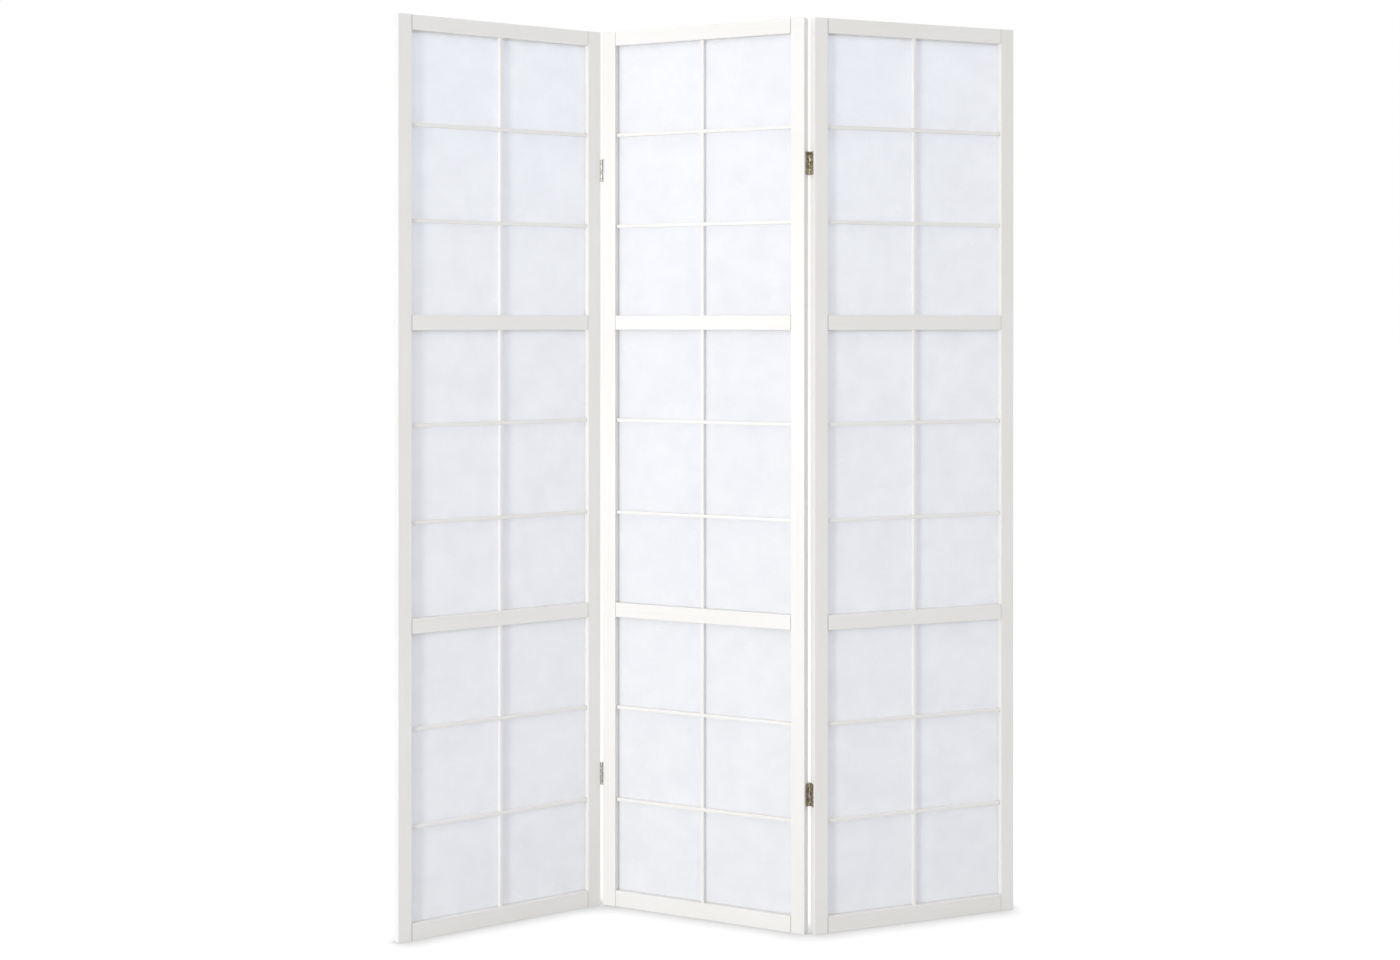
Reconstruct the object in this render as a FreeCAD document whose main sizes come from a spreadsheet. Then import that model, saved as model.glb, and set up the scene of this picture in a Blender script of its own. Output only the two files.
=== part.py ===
import FreeCAD, Part
import Sketcher

import math
import os
import re
from collections import namedtuple

# A three-panel folding shoji screen of white-painted wood and translucent paper, in millimetres.
#
# Every panel is described in its own frame: X runs across the panel from its left edge, Y runs through
# its thickness from the front face (0) to the back face, and Z runs up from the floor.  The three panel
# frames are then stood in a zig-zag on the floor, and every piece of a panel shares its panel's placement.
# A hinge leaf, a pin and a screw have small frames of their own, centred on the knuckle or on the head.

Vector = FreeCAD.Vector
Placement = FreeCAD.Placement
Rotation = FreeCAD.Rotation
X_AXIS, Y_AXIS, Z_AXIS = Vector(1, 0, 0), Vector(0, 1, 0), Vector(0, 0, 1)

doc = FreeCAD.newDocument("folding_screen")

# ---------------------------------------------------------------------------------------------------
# Driving dimensions
# ---------------------------------------------------------------------------------------------------

SIZES = [
    # the frame of a panel
    ("panel_width", 440.0, "outside width of one panel"),
    ("panel_depth", 20.0, "thickness of stiles and rails"),
    ("stile_width", 28.5, "face width of a stile"),
    ("rail_height", 29.0, "face height of the top rail and of both middle rails"),
    ("bottom_rail_height", 32.0, "face height of the bottom rail"),
    ("upper_bay_height", 549.0, "clear height between top rail and upper middle rail"),
    ("middle_bay_height", 555.0, "clear height between the middle rails"),
    ("lower_bay_height", 557.0, "clear height between lower middle rail and bottom rail"),
    ("edge_round", 1.0, "radius that eases the long edges of stiles and rails"),
    # the lattice of thin bars
    ("bar_width", 7.0, "face width of a lattice bar"),
    ("bar_depth", 9.0, "depth of a lattice bar"),
    ("bar_recess", 5.0, "how far the lattice lies behind the front face"),
    ("bar_ease", 0.5, "bevel on the front edges of a lattice bar"),
    ("bar_stub", 4.0, "length of a bar's end that sits in its mortise"),
    ("bar_fit", 0.1, "clearance around a bar's end in its mortise"),
    ("stub_end_gap", 0.4, "clearance past the end of a bar in its mortise"),
    # the paper and the beads that hold it
    ("paper_thickness", 0.4, "thickness of the laminated paper"),
    ("rebate_width", 5.5, "width of the rebate behind each bay, and so the lap of the paper"),
    ("paper_edge_gap", 0.5, "clearance from the paper's edge to the wall of the rebate"),
    ("bead_fit", 0.1, "clearance between a bead and its neighbours"),
    ("bead_set_back", 0.3, "how far a bead lies below the back face"),
    # the dowels of the corner joints
    ("dowel_diameter", 6.0, "diameter of a dowel"),
    ("dowel_length", 36.0, "length of a dowel, half in the rail and half in the stile"),
    ("dowel_spacing", 13.0, "distance between the two dowels of a joint"),
    ("dowel_setback", 8.5, "distance from the front face to the dowels' centre line"),
    ("dowel_nose", 0.8, "bevel on a dowel's ends"),
    ("dowel_fit", 0.05, "radial clearance of a dowel in its hole"),
    ("dowel_end_gap", 1.0, "clearance past each end of a dowel"),
    # the butt hinges
    ("upper_hinge_drop", 282.0, "from the top of the screen to the middle of an upper hinge"),
    ("lower_hinge_rise", 268.0, "from the floor to the middle of a lower hinge"),
    ("hinge_height", 45.0, "height of a hinge"),
    ("leaf_thickness", 1.3, "thickness of the sheet metal of a leaf"),
    ("leaf_reach", 14.0, "how far a leaf reaches across the edge of a panel"),
    ("edge_gap", 4.0, "gap between the edges of two panels that are opened flat"),
    ("knuckle_offset", 1.3, "how far the hinge axis stands off the faces of the panels"),
    ("knuckle_gap", 0.3, "clearance between neighbouring knuckles"),
    ("leaf_relief", 0.4, "clearance between a leaf's notch and the knuckle in it"),
    ("leaf_fit", 0.15, "clearance around a leaf in its mortise"),
    ("pin_diameter", 3.0, "diameter of a hinge pin"),
    ("pin_fit", 0.05, "radial running clearance of the pin in the knuckles"),
    ("pin_head_diameter", 4.2, "diameter of the pin's rounded ends"),
    ("pin_head_height", 0.9, "height of the pin's rounded ends"),
    ("pin_head_round", 0.65, "radius that rounds the pin's ends"),
    # the countersunk screws of the hinges
    ("screw_diameter", 2.4, "diameter of a screw's shank"),
    ("screw_head_diameter", 4.8, "diameter of a screw's countersunk head"),
    ("screw_length", 13.0, "length of a screw with its head"),
    ("screw_point", 2.6, "length of a screw's point"),
    ("screw_fit", 0.05, "radial clearance of a screw in its hole"),
    ("screw_end_gap", 0.6, "clearance past the point of a screw"),
    ("slot_width", 0.7, "width of the cross recess in a screw head"),
    ("slot_length", 2.8, "length of the cross recess in a screw head"),
    ("slot_depth", 0.8, "depth of the cross recess in a screw head"),
    ("screw_inset", 7.5, "from the end of a leaf to its outer screws"),
    ("near_screw_row", 6.3, "from the hinge axis to the outer screws of a leaf"),
    ("far_screw_row", 11.0, "from the hinge axis to the middle screw of a leaf"),
    # how the screen stands at rest
    ("middle_yaw", -24.4, "turn of the middle panel from the X axis, in degrees"),
    ("left_fold", 56.1, "fold of the left panel from flat, in degrees"),
    ("right_fold", 44.8, "fold of the right panel from flat, in degrees"),
]

KNUCKLES = 5                # knuckles of a hinge, taken by its two leaves in turn
CROSSBARS = 2               # crossbars in each bay
COUNTERSINK_TAPER = -45.0   # half of the right angle that the screw heads and their seats have

SAME_PLACE = 1e-6           # points nearer than this, in mm, are the same point
SAME_WAY = 0.999            # directions whose cosine is over this are parallel

sheet = doc.addObject("Spreadsheet::Sheet", "Sizes")
for row, (alias, number, meaning) in enumerate(SIZES, start=1):
    sheet.set("A%d" % row, meaning)
    sheet.set("B%d" % row, str(number))
    sheet.setAlias("B%d" % row, alias)
doc.recompute()


def bound(formula):
    """The formula as an expression, with each of its words read from the sheet of sizes."""
    return re.sub(r"\b[a-z]\w*", r"Sizes.\g<0>", formula)


def value(formula):
    """What a formula comes to now."""
    return float(sheet.evalExpression(bound(formula)))


# ---------------------------------------------------------------------------------------------------
# Places in a panel, as formulas of the sizes
# ---------------------------------------------------------------------------------------------------

Span = namedtuple("Span", "low size")


def after(span, size):
    """The span that starts where another one ends."""
    return Span("(%s + %s)" % (span.low, span.size), size)


def end(span):
    return "(%s + %s)" % (span.low, span.size)


BOTTOM_RAIL = Span("0", "bottom_rail_height")
LOWER_BAY = after(BOTTOM_RAIL, "lower_bay_height")
LOWER_MID_RAIL = after(LOWER_BAY, "rail_height")
MIDDLE_BAY = after(LOWER_MID_RAIL, "middle_bay_height")
UPPER_MID_RAIL = after(MIDDLE_BAY, "rail_height")
UPPER_BAY = after(UPPER_MID_RAIL, "upper_bay_height")
TOP_RAIL = after(UPPER_BAY, "rail_height")

RAILS = {
    "top_rail": TOP_RAIL,
    "upper_mid_rail": UPPER_MID_RAIL,
    "lower_mid_rail": LOWER_MID_RAIL,
    "bottom_rail": BOTTOM_RAIL,
}
BAYS = {"upper": UPPER_BAY, "middle": MIDDLE_BAY, "lower": LOWER_BAY}

SCREEN_HEIGHT = end(TOP_RAIL)
OPENING = Span("stile_width", "(panel_width - 2 * stile_width)")
PAPER_FACE = "(bar_recess + bar_depth)"
BEAD_FACE = "(bar_recess + bar_depth + paper_thickness)"
KNUCKLE_RADIUS = "(pin_diameter / 2 + pin_fit + leaf_thickness)"
LEAF_MORTISE = "(%s - edge_gap / 2)" % KNUCKLE_RADIUS
HINGE_HEIGHTS = {"upper": "(%s - upper_hinge_drop)" % SCREEN_HEIGHT, "lower": "lower_hinge_rise"}


def crossbar_low(bay, index):
    """The height of the lower face of a crossbar: the bars part a bay into equal panes."""
    pane = "(%s - %d * bar_width) / %d" % (bay.size, CROSSBARS, CROSSBARS + 1)
    return "(%s + %d * %s + %d * bar_width)" % (bay.low, index + 1, pane, index)


# ---------------------------------------------------------------------------------------------------
# Sketches and features
# ---------------------------------------------------------------------------------------------------

Box = namedtuple("Box", "left low wide high")
Disc = namedtuple("Disc", "x y diameter")


def new_body(label):
    body = doc.addObject("PartDesign::Body", label)
    body.Label = label
    return body


def new_sketch(body, name, plane, offset="0"):
    """An empty sketch on one of the body's own origin planes, moved along the plane's normal."""
    support = next(item for item in body.Origin.OriginFeatures if item.Role == plane)
    sketch = body.newObject("Sketcher::SketchObject", body.Label + "_" + name)
    sketch.AttachmentSupport = (support, [""])
    sketch.MapMode = "FlatFace"
    sketch.setExpression("AttachmentOffset.Base.z", bound(offset))
    return sketch


def hold(sketch, kind, points, formula):
    """A dimension of a sketch that follows a formula."""
    number = value(formula)
    index = sketch.addConstraint(Sketcher.Constraint(kind, *points, number))
    sketch.setExpression("Constraints[%d]" % index, bound(formula))


def draw_box(sketch, box):
    x, y, wide, high = (value(formula) for formula in box)
    corners = [Vector(x, y), Vector(x + wide, y), Vector(x + wide, y + high), Vector(x, y + high)]
    first = sketch.GeometryCount
    for corner, following in zip(corners, corners[1:] + corners[:1]):
        sketch.addGeometry(Part.LineSegment(corner, following), False)
    for side in range(4):
        ends = (first + side, 2, first + (side + 1) % 4, 1)
        sketch.addConstraint(Sketcher.Constraint("Coincident", *ends))
        direction = "Vertical" if side % 2 else "Horizontal"
        sketch.addConstraint(Sketcher.Constraint(direction, first + side))
    hold(sketch, "DistanceX", (-1, 1, first, 1), box.left)
    hold(sketch, "DistanceY", (-1, 1, first, 1), box.low)
    hold(sketch, "DistanceX", (first, 1, first, 2), box.wide)
    hold(sketch, "DistanceY", (first + 1, 1, first + 1, 2), box.high)


def draw_disc(sketch, disc):
    x, y, diameter = (value(formula) for formula in disc)
    circle = sketch.addGeometry(Part.Circle(Vector(x, y), Z_AXIS, diameter / 2), False)
    hold(sketch, "DistanceX", (-1, 1, circle, 3), disc.x)
    hold(sketch, "DistanceY", (-1, 1, circle, 3), disc.y)
    hold(sketch, "Diameter", (circle,), disc.diameter)


def draw(sketch, outlines):
    for outline in outlines:
        if isinstance(outline, Box):
            draw_box(sketch, outline)
        else:
            draw_disc(sketch, outline)


def pad(body, name, plane, outlines, length, offset="0", backwards=False):
    """Material that grows from a plane, along its normal or against it."""
    sketch = new_sketch(body, name + "_outline", plane, offset)
    draw(sketch, outlines)
    feature = body.newObject("PartDesign::Pad", body.Label + "_" + name)
    feature.Profile = sketch
    feature.setExpression("Length", bound(length))
    feature.Reversed = backwards
    doc.recompute()
    return feature


def pocket(body, name, plane, outlines, depth, offset="0", along_normal=False, taper=0.0):
    """A cut that starts at a plane.  A cut that takes nothing away is an error."""
    before = body.Shape.Volume
    sketch = new_sketch(body, name + "_outline", plane, offset)
    draw(sketch, outlines)
    feature = body.newObject("PartDesign::Pocket", body.Label + "_" + name)
    feature.Profile = sketch
    feature.setExpression("Length", bound(depth))
    feature.Reversed = along_normal
    feature.TaperAngle = taper
    doc.recompute()
    if body.Shape.Volume >= before:
        raise RuntimeError("%s cuts nothing" % feature.Label)
    return feature


def edges_along(shape, axis):
    """The names of the straight edges that run along an axis."""
    names = []
    for number, edge in enumerate(shape.Edges, start=1):
        if abs(edge.tangentAt(edge.FirstParameter).dot(axis)) > SAME_WAY:
            names.append("Edge%d" % number)
    return names


def ease(body, base, names, size, kind="Fillet"):
    """Rounded or bevelled edges."""
    feature = body.newObject("PartDesign::" + kind, body.Label + "_eased")
    feature.Base = (base, names)
    feature.setExpression("Radius" if kind == "Fillet" else "Size", bound(size))
    doc.recompute()
    return feature


# ---------------------------------------------------------------------------------------------------
# The frame of a panel
# ---------------------------------------------------------------------------------------------------

def leaf_mortises(stile, side, knuckle_face):
    """Shallow mortises in a stile's edge for the two hinge leaves, and the screws' pilot holes."""
    outer_edge = {"left": "0", "right": "panel_width"}[side]
    inwards = side == "left"
    reach = "(leaf_reach + leaf_fit)"
    mortises, pilots = [], []
    for middle in HINGE_HEIGHTS.values():
        low = "%s - hinge_height / 2 - leaf_fit" % middle
        start = "0" if knuckle_face == "front" else "panel_depth - %s" % reach
        mortises.append(Box(start, low, reach, "hinge_height + 2 * leaf_fit"))
        for row, rise in screw_places():
            across = "%s - knuckle_offset" % row
            if knuckle_face == "back":
                across = "panel_depth - (%s)" % across
            pilots.append(Disc(across, "%s + %s" % (middle, rise), "screw_diameter + 2 * screw_fit"))
    pilot_depth = "%s - leaf_thickness + screw_length + screw_end_gap" % LEAF_MORTISE
    pocket(stile, "leaf_mortises", "YZ_Plane", mortises, LEAF_MORTISE, outer_edge, along_normal=inwards)
    pocket(stile, "pilot_holes", "YZ_Plane", pilots, pilot_depth, outer_edge, along_normal=inwards)


def make_stile(panel, side, hinge):
    """An upright of the frame, with its rebates, mortises and dowel holes."""
    left = {"left": "0", "right": "(panel_width - stile_width)"}[side]
    inner_face = {"left": "stile_width", "right": "(panel_width - stile_width)"}[side]
    into_stile = side == "right"
    stile = new_body("%s_%s_stile" % (panel, side))
    section = Box(left, "0", "stile_width", "panel_depth")
    blank = pad(stile, "blank", "XY_Plane", [section], SCREEN_HEIGHT)
    ease(stile, blank, edges_along(blank.Shape, Z_AXIS), "edge_round")

    rebate_left = "%s - rebate_width" % inner_face if side == "left" else inner_face
    rebates = []
    bar_mortises = []
    for bay in BAYS.values():
        low = "%s - rebate_width" % bay.low
        rebates.append(Box(rebate_left, low, "rebate_width", "%s + 2 * rebate_width" % bay.size))
        for index in range(CROSSBARS):
            low = "%s - bar_fit" % crossbar_low(bay, index)
            wide = "bar_depth + bar_fit"
            bar_mortises.append(Box("bar_recess - bar_fit", low, wide, "bar_width + 2 * bar_fit"))
    # seen from the front, this plane's normal points at the viewer, so a cut from the back runs along it
    pocket(stile, "rebates", "XZ_Plane", rebates, "panel_depth - %s" % PAPER_FACE,
           "-panel_depth", along_normal=True)
    pocket(stile, "bar_mortises", "YZ_Plane", bar_mortises, "bar_stub + stub_end_gap",
           inner_face, along_normal=into_stile)

    holes = [hole for rail in RAILS.values() for hole in dowel_holes(rail)]
    pocket(stile, "dowel_holes", "YZ_Plane", holes, "dowel_length / 2 + dowel_end_gap",
           inner_face, along_normal=into_stile)
    if hinge:
        leaf_mortises(stile, side, hinge)
    return stile


def dowel_heights(rail):
    middle = "%s + %s / 2" % (rail.low, rail.size)
    return ["%s - dowel_spacing / 2" % middle, "%s + dowel_spacing / 2" % middle]


def dowel_holes(rail):
    return [Disc("dowel_setback", height, "dowel_diameter + 2 * dowel_fit") for height in dowel_heights(rail)]


def make_rail(panel, name, rail):
    """A cross member of the frame: it butts between the stiles on two dowels at each end."""
    body = new_body("%s_%s" % (panel, name))
    face = Box(OPENING.low, rail.low, OPENING.size, rail.size)
    blank = pad(body, "blank", "XZ_Plane", [face], "panel_depth", backwards=True)
    ease(body, blank, edges_along(blank.Shape, X_AXIS), "edge_round")

    mortise_left = "panel_width / 2 - bar_width / 2 - bar_fit"
    mortise = Box(mortise_left, "bar_recess - bar_fit", "bar_width + 2 * bar_fit", "bar_depth + bar_fit")
    rebates = []
    if name != "bottom_rail":
        rebates.append(Box(OPENING.low, rail.low, OPENING.size, "rebate_width"))
        pocket(body, "mortise_below", "XY_Plane", [mortise], "bar_stub + stub_end_gap",
               rail.low, along_normal=True)
    if name != "top_rail":
        rebates.append(Box(OPENING.low, "%s - rebate_width" % end(rail), OPENING.size, "rebate_width"))
        pocket(body, "mortise_above", "XY_Plane", [mortise], "bar_stub + stub_end_gap", end(rail))
    pocket(body, "rebates", "XZ_Plane", rebates, "panel_depth - %s" % PAPER_FACE,
           "-panel_depth", along_normal=True)
    for side, plane in (("left", OPENING.low), ("right", end(OPENING))):
        pocket(body, side + "_dowel_holes", "YZ_Plane", dowel_holes(rail),
               "dowel_length / 2 + dowel_end_gap", plane, along_normal=side == "left")
    return body


# ---------------------------------------------------------------------------------------------------
# The lattice, the paper and the beads
# ---------------------------------------------------------------------------------------------------

def bar_front_edges(feature, axis):
    """The two long edges of a bar that show at the front."""
    front = value("bar_recess")
    names = []
    for name in edges_along(feature.Shape, axis):
        edge = feature.Shape.getElement(name)
        if abs(edge.Vertexes[0].Point.y - front) < SAME_PLACE:
            names.append(name)
    return names


def make_upright(panel, bay_name, bay):
    """The thin upright of a bay, notched at the front where the crossbars pass."""
    body = new_body("%s_%s_upright" % (panel, bay_name))
    section = Box("panel_width / 2 - bar_width / 2", "bar_recess", "bar_width", "bar_depth")
    blank = pad(body, "blank", "XY_Plane", [section], "%s + 2 * bar_stub" % bay.size,
                "%s - bar_stub" % bay.low)
    ease(body, blank, bar_front_edges(blank, Z_AXIS), "bar_ease", "Chamfer")
    notches = [
        Box("panel_width / 2 - bar_width / 2", crossbar_low(bay, index), "bar_width", "bar_width")
        for index in range(CROSSBARS)
    ]
    pocket(body, "notches", "XZ_Plane", notches, "bar_depth / 2", "-bar_recess")
    return body


def make_crossbar(panel):
    """One crossbar, at the height of the floor.  It is notched at the back, where the upright passes."""
    body = new_body("%s_crossbar" % panel)
    face = Box("stile_width - bar_stub", "0", "%s + 2 * bar_stub" % OPENING.size, "bar_width")
    blank = pad(body, "blank", "XZ_Plane", [face], "bar_depth", "-bar_recess", backwards=True)
    ease(body, blank, bar_front_edges(blank, X_AXIS), "bar_ease", "Chamfer")
    notch = Box("panel_width / 2 - bar_width / 2", "0", "bar_width", "bar_width")
    pocket(body, "notch", "XZ_Plane", [notch], "bar_depth / 2", "-%s" % PAPER_FACE, along_normal=True)
    return body


def make_paper(panel, bay_name, bay):
    """The paper of a bay: it lies on the back of the lattice and laps into the rebate."""
    paper = doc.addObject("Part::Box", "%s_%s_paper" % (panel, bay_name))
    lap = "(rebate_width - paper_edge_gap)"
    paper.setExpression("Length", bound("%s + 2 * %s" % (OPENING.size, lap)))
    paper.setExpression("Width", bound("paper_thickness"))
    paper.setExpression("Height", bound("%s + 2 * %s" % (bay.size, lap)))
    return paper, (value("%s - %s" % (OPENING.low, lap)), value(PAPER_FACE), value("%s - %s" % (bay.low, lap)))


def make_bead(label, corner, wide, high):
    """A thin strip in the rebate, which holds the edge of the paper."""
    bead = doc.addObject("Part::Box", label)
    bead.setExpression("Length", bound(wide))
    bead.setExpression("Width", bound("panel_depth - bead_set_back - %s" % BEAD_FACE))
    bead.setExpression("Height", bound(high))
    for letter, formula in zip("xyz", (corner[0], BEAD_FACE, corner[1])):
        bead.setExpression("Placement.Base." + letter, bound(formula))
    return bead


def make_beads(panel):
    """Four beads behind each bay.  The level ones run the whole width, the upright ones between them."""
    face = "(rebate_width - bead_fit)"
    left = "(%s - %s)" % (OPENING.low, face)
    wide = "%s + 2 * %s" % (OPENING.size, face)
    beads = []
    for bay_name, bay in BAYS.items():
        label = "%s_%s_bead_" % (panel, bay_name)
        low, high = "%s + bead_fit" % bay.low, "%s - 2 * bead_fit" % bay.size
        beads.append(make_bead(label + "below", (left, "%s - %s" % (bay.low, face)), wide, face))
        beads.append(make_bead(label + "above", (left, end(bay)), wide, face))
        beads.append(make_bead(label + "left", (left, low), face, high))
        beads.append(make_bead(label + "right", (end(OPENING), low), face, high))
    return group("%s_paper_beads" % panel, beads)


# ---------------------------------------------------------------------------------------------------
# Dowels, hinges and screws
# ---------------------------------------------------------------------------------------------------

def make_dowel():
    """A dowel with bevelled ends, along X and centred on the joint."""
    body = new_body("dowel")
    pin = pad(body, "pin", "YZ_Plane", [Disc("0", "0", "dowel_diameter")], "dowel_length",
              "-dowel_length / 2")
    rims = ["Edge%d" % n for n, edge in enumerate(pin.Shape.Edges, start=1) if edge.isClosed()]
    ease(body, pin, rims, "dowel_nose", "Chamfer")
    return body


def screw_places():
    """Distance from the axis and rise above the hinge's middle for each screw of a leaf."""
    rise = "(hinge_height / 2 - screw_inset)"
    return [("near_screw_row", rise), ("far_screw_row", "0"), ("near_screw_row", "-" + rise)]


def draw_leaf(sketch):
    """The section of a leaf: a strip along +Y that curls round the hinge axis at the origin.

    The strip's wood side is tangent to the outside of the curl.
    """
    radius = value(KNUCKLE_RADIUS)
    inner = value("leaf_thickness") - radius
    reach = value("leaf_reach + knuckle_offset")
    root = math.sqrt(radius ** 2 - inner ** 2)
    wood_top, free_top = Vector(-radius, reach), Vector(inner, reach)
    wood_side = sketch.addGeometry(Part.LineSegment(Vector(-radius, 0), wood_top), False)
    tip = sketch.addGeometry(Part.LineSegment(wood_top, free_top), False)
    free_side = sketch.addGeometry(Part.LineSegment(free_top, Vector(inner, root)), False)
    circle = Part.Circle(Vector(0, 0), Z_AXIS, radius)
    curl = sketch.addGeometry(Part.ArcOfCircle(circle, -math.pi, math.atan2(root, inner)), False)
    for joined in ((wood_side, 2, tip, 1), (tip, 2, free_side, 1), (free_side, 2, curl, 2),
                   (wood_side, 1, curl, 1), (curl, 3, -1, 1)):
        sketch.addConstraint(Sketcher.Constraint("Coincident", *joined))
    for upright in (wood_side, free_side):
        sketch.addConstraint(Sketcher.Constraint("Vertical", upright))
    sketch.addConstraint(Sketcher.Constraint("Horizontal", tip))
    sketch.addConstraint(Sketcher.Constraint("Horizontal", wood_side, 1, -1, 1))
    hold(sketch, "Radius", (curl,), KNUCKLE_RADIUS)
    hold(sketch, "DistanceX", (tip, 1, tip, 2), "leaf_thickness")
    hold(sketch, "DistanceY", (-1, 1, wood_side, 2), "leaf_reach + knuckle_offset")


def make_leaf(label, kept):
    """A pressed hinge leaf.  It keeps the knuckles whose turn in the row is in kept, and is notched
    round the other leaf's knuckles."""
    body = new_body(label)
    sketch = new_sketch(body, "section", "XY_Plane", "-hinge_height / 2")
    draw_leaf(sketch)
    strip = body.newObject("PartDesign::Pad", label + "_strip")
    strip.Profile = sketch
    strip.setExpression("Length", bound("hinge_height"))
    doc.recompute()

    pocket(body, "bore", "XY_Plane", [Disc("0", "0", "pin_diameter + 2 * pin_fit")], "hinge_height",
           "hinge_height / 2")
    notch_width = "2 * (%s + leaf_relief)" % KNUCKLE_RADIUS
    pitch = "hinge_height / %d" % KNUCKLES
    notches = []
    for turn in range(KNUCKLES):
        if turn not in kept:
            # half of the gap between two knuckles is cut from this leaf, and half from the other one
            low = "-hinge_height / 2 + %d * %s - knuckle_gap / 2" % (turn, pitch)
            notches.append(Box("-%s / 2" % notch_width, low, notch_width, "%s + knuckle_gap" % pitch))
    pocket(body, "notches", "YZ_Plane", notches, notch_width, "%s / 2" % notch_width)

    holes = [Disc(row, rise, "screw_diameter + 2 * screw_fit") for row, rise in screw_places()]
    free_face = "(leaf_thickness - %s)" % KNUCKLE_RADIUS
    pocket(body, "screw_holes", "YZ_Plane", holes, "leaf_thickness", free_face)
    heads = [Disc(row, rise, "screw_head_diameter + 2 * screw_fit") for row, rise in screw_places()]
    sink = "(screw_head_diameter - screw_diameter) / 2"
    pocket(body, "countersinks", "YZ_Plane", heads, sink, free_face, taper=COUNTERSINK_TAPER)
    return body


def make_pin():
    """A hinge pin along Z with low rounded ends that keep it in the knuckles."""
    body = new_body("pin")
    pad(body, "shank", "XY_Plane", [Disc("0", "0", "pin_diameter")], "hinge_height", "-hinge_height / 2")
    pad(body, "top_end", "XY_Plane", [Disc("0", "0", "pin_head_diameter")], "pin_head_height",
        "hinge_height / 2")
    ends = pad(body, "bottom_end", "XY_Plane", [Disc("0", "0", "pin_head_diameter")], "pin_head_height",
               "-hinge_height / 2", backwards=True)
    outermost = value("hinge_height / 2 + pin_head_height")
    rims = [
        "Edge%d" % number
        for number, edge in enumerate(ends.Shape.Edges, start=1)
        if edge.isClosed() and abs(abs(edge.CenterOfMass.z) - outermost) < SAME_PLACE
    ]
    ease(body, ends, rims, "pin_head_round")
    return body


def make_screw():
    """A countersunk wood screw along -X, with the middle of its flat head at the origin."""
    body = new_body("screw")
    head_radius, shank_radius = value("screw_head_diameter / 2"), value("screw_diameter / 2")
    length, point = value("screw_length"), value("screw_point")
    head_depth = head_radius - shank_radius
    corners = [
        Vector(0, 0), Vector(0, head_radius), Vector(-head_depth, shank_radius),
        Vector(point - length, shank_radius), Vector(-length, 0),
    ]
    sketch = new_sketch(body, "section", "XY_Plane")
    for corner, following in zip(corners, corners[1:] + corners[:1]):
        sketch.addGeometry(Part.LineSegment(corner, following), False)
    for side in range(5):
        sketch.addConstraint(Sketcher.Constraint("Coincident", side, 2, (side + 1) % 5, 1))
    sketch.addConstraint(Sketcher.Constraint("Coincident", 0, 1, -1, 1))
    sketch.addConstraint(Sketcher.Constraint("Vertical", 0))
    sketch.addConstraint(Sketcher.Constraint("Horizontal", 2))
    sketch.addConstraint(Sketcher.Constraint("Horizontal", 4))
    hold(sketch, "DistanceY", (0, 1, 0, 2), "screw_head_diameter / 2")
    hold(sketch, "DistanceY", (-1, 1, 2, 1), "screw_diameter / 2")
    hold(sketch, "DistanceX", (1, 2, 1, 1), "(screw_head_diameter - screw_diameter) / 2")
    hold(sketch, "DistanceX", (4, 1, 4, 2), "screw_length")
    hold(sketch, "DistanceX", (4, 1, 3, 1), "screw_point")
    turned = body.newObject("PartDesign::Revolution", "screw_turned")
    turned.Profile = sketch
    turned.ReferenceAxis = (sketch, ["H_Axis"])
    turned.Angle = 360
    doc.recompute()
    arm = Box("-slot_length / 2", "-slot_width / 2", "slot_length", "slot_width")
    pocket(body, "level_slot", "YZ_Plane", [arm], "slot_depth")
    arm = Box("-slot_width / 2", "-slot_length / 2", "slot_width", "slot_length")
    pocket(body, "upright_slot", "YZ_Plane", [arm], "slot_depth")
    return body


# ---------------------------------------------------------------------------------------------------
# Groups and placements
# ---------------------------------------------------------------------------------------------------

nodes = []


def group(label, members):
    """Several separate solids that share one node."""
    compound = doc.addObject("Part::Compound", label)
    compound.Links = members
    return compound


def copies(label, body, places):
    """A node of identical pieces: one linked copy of the body at each place."""
    links = []
    for number, place in enumerate(places, start=1):
        link = doc.addObject("App::Link", "%s_%d" % (label, number))
        link.LinkedObject = body
        link.Placement = place
        links.append(link)
    return group(label, links)


def keep(piece, label, place):
    """A finished sub-part under its own name, at its place in the screen."""
    piece.Label = label
    piece.Placement = place
    nodes.append(piece)


def about_z(x, y, degrees):
    """A turn about the upright line through (x, y)."""
    return Placement(Vector(0, 0, 0), Rotation(Z_AXIS, degrees), Vector(x, y, 0))


def shift(x, y, z=0.0):
    return Placement(Vector(x, y, z), Rotation())


width, depth = value("panel_width"), value("panel_depth")
gap, offset = value("edge_gap / 2"), value("knuckle_offset")

# the two hinge axes, as points in each panel's own frame: the left fold has its knuckles at the front
# of the panels, and the right fold has them at the back
FRONT_AXIS = {"left_panel": (width + gap, -offset), "middle_panel": (-gap, -offset)}
BACK_AXIS = {"middle_panel": (width + gap, depth + offset), "right_panel": (-gap, depth + offset)}


def joined(own_axis, middle_axis, fold):
    """A side panel's frame in the middle panel's frame: the axes meet, and the panel turns by its fold."""
    meet = shift(middle_axis[0] - own_axis[0], middle_axis[1] - own_axis[1])
    return about_z(middle_axis[0], middle_axis[1], fold) * meet


panel_places = {
    "left_panel": joined(FRONT_AXIS["left_panel"], FRONT_AXIS["middle_panel"], value("left_fold")),
    "middle_panel": Placement(),
    "right_panel": joined(BACK_AXIS["right_panel"], BACK_AXIS["middle_panel"], value("right_fold")),
}
turn = about_z(0, 0, value("middle_yaw"))
panel_places = {name: turn * place for name, place in panel_places.items()}

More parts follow.
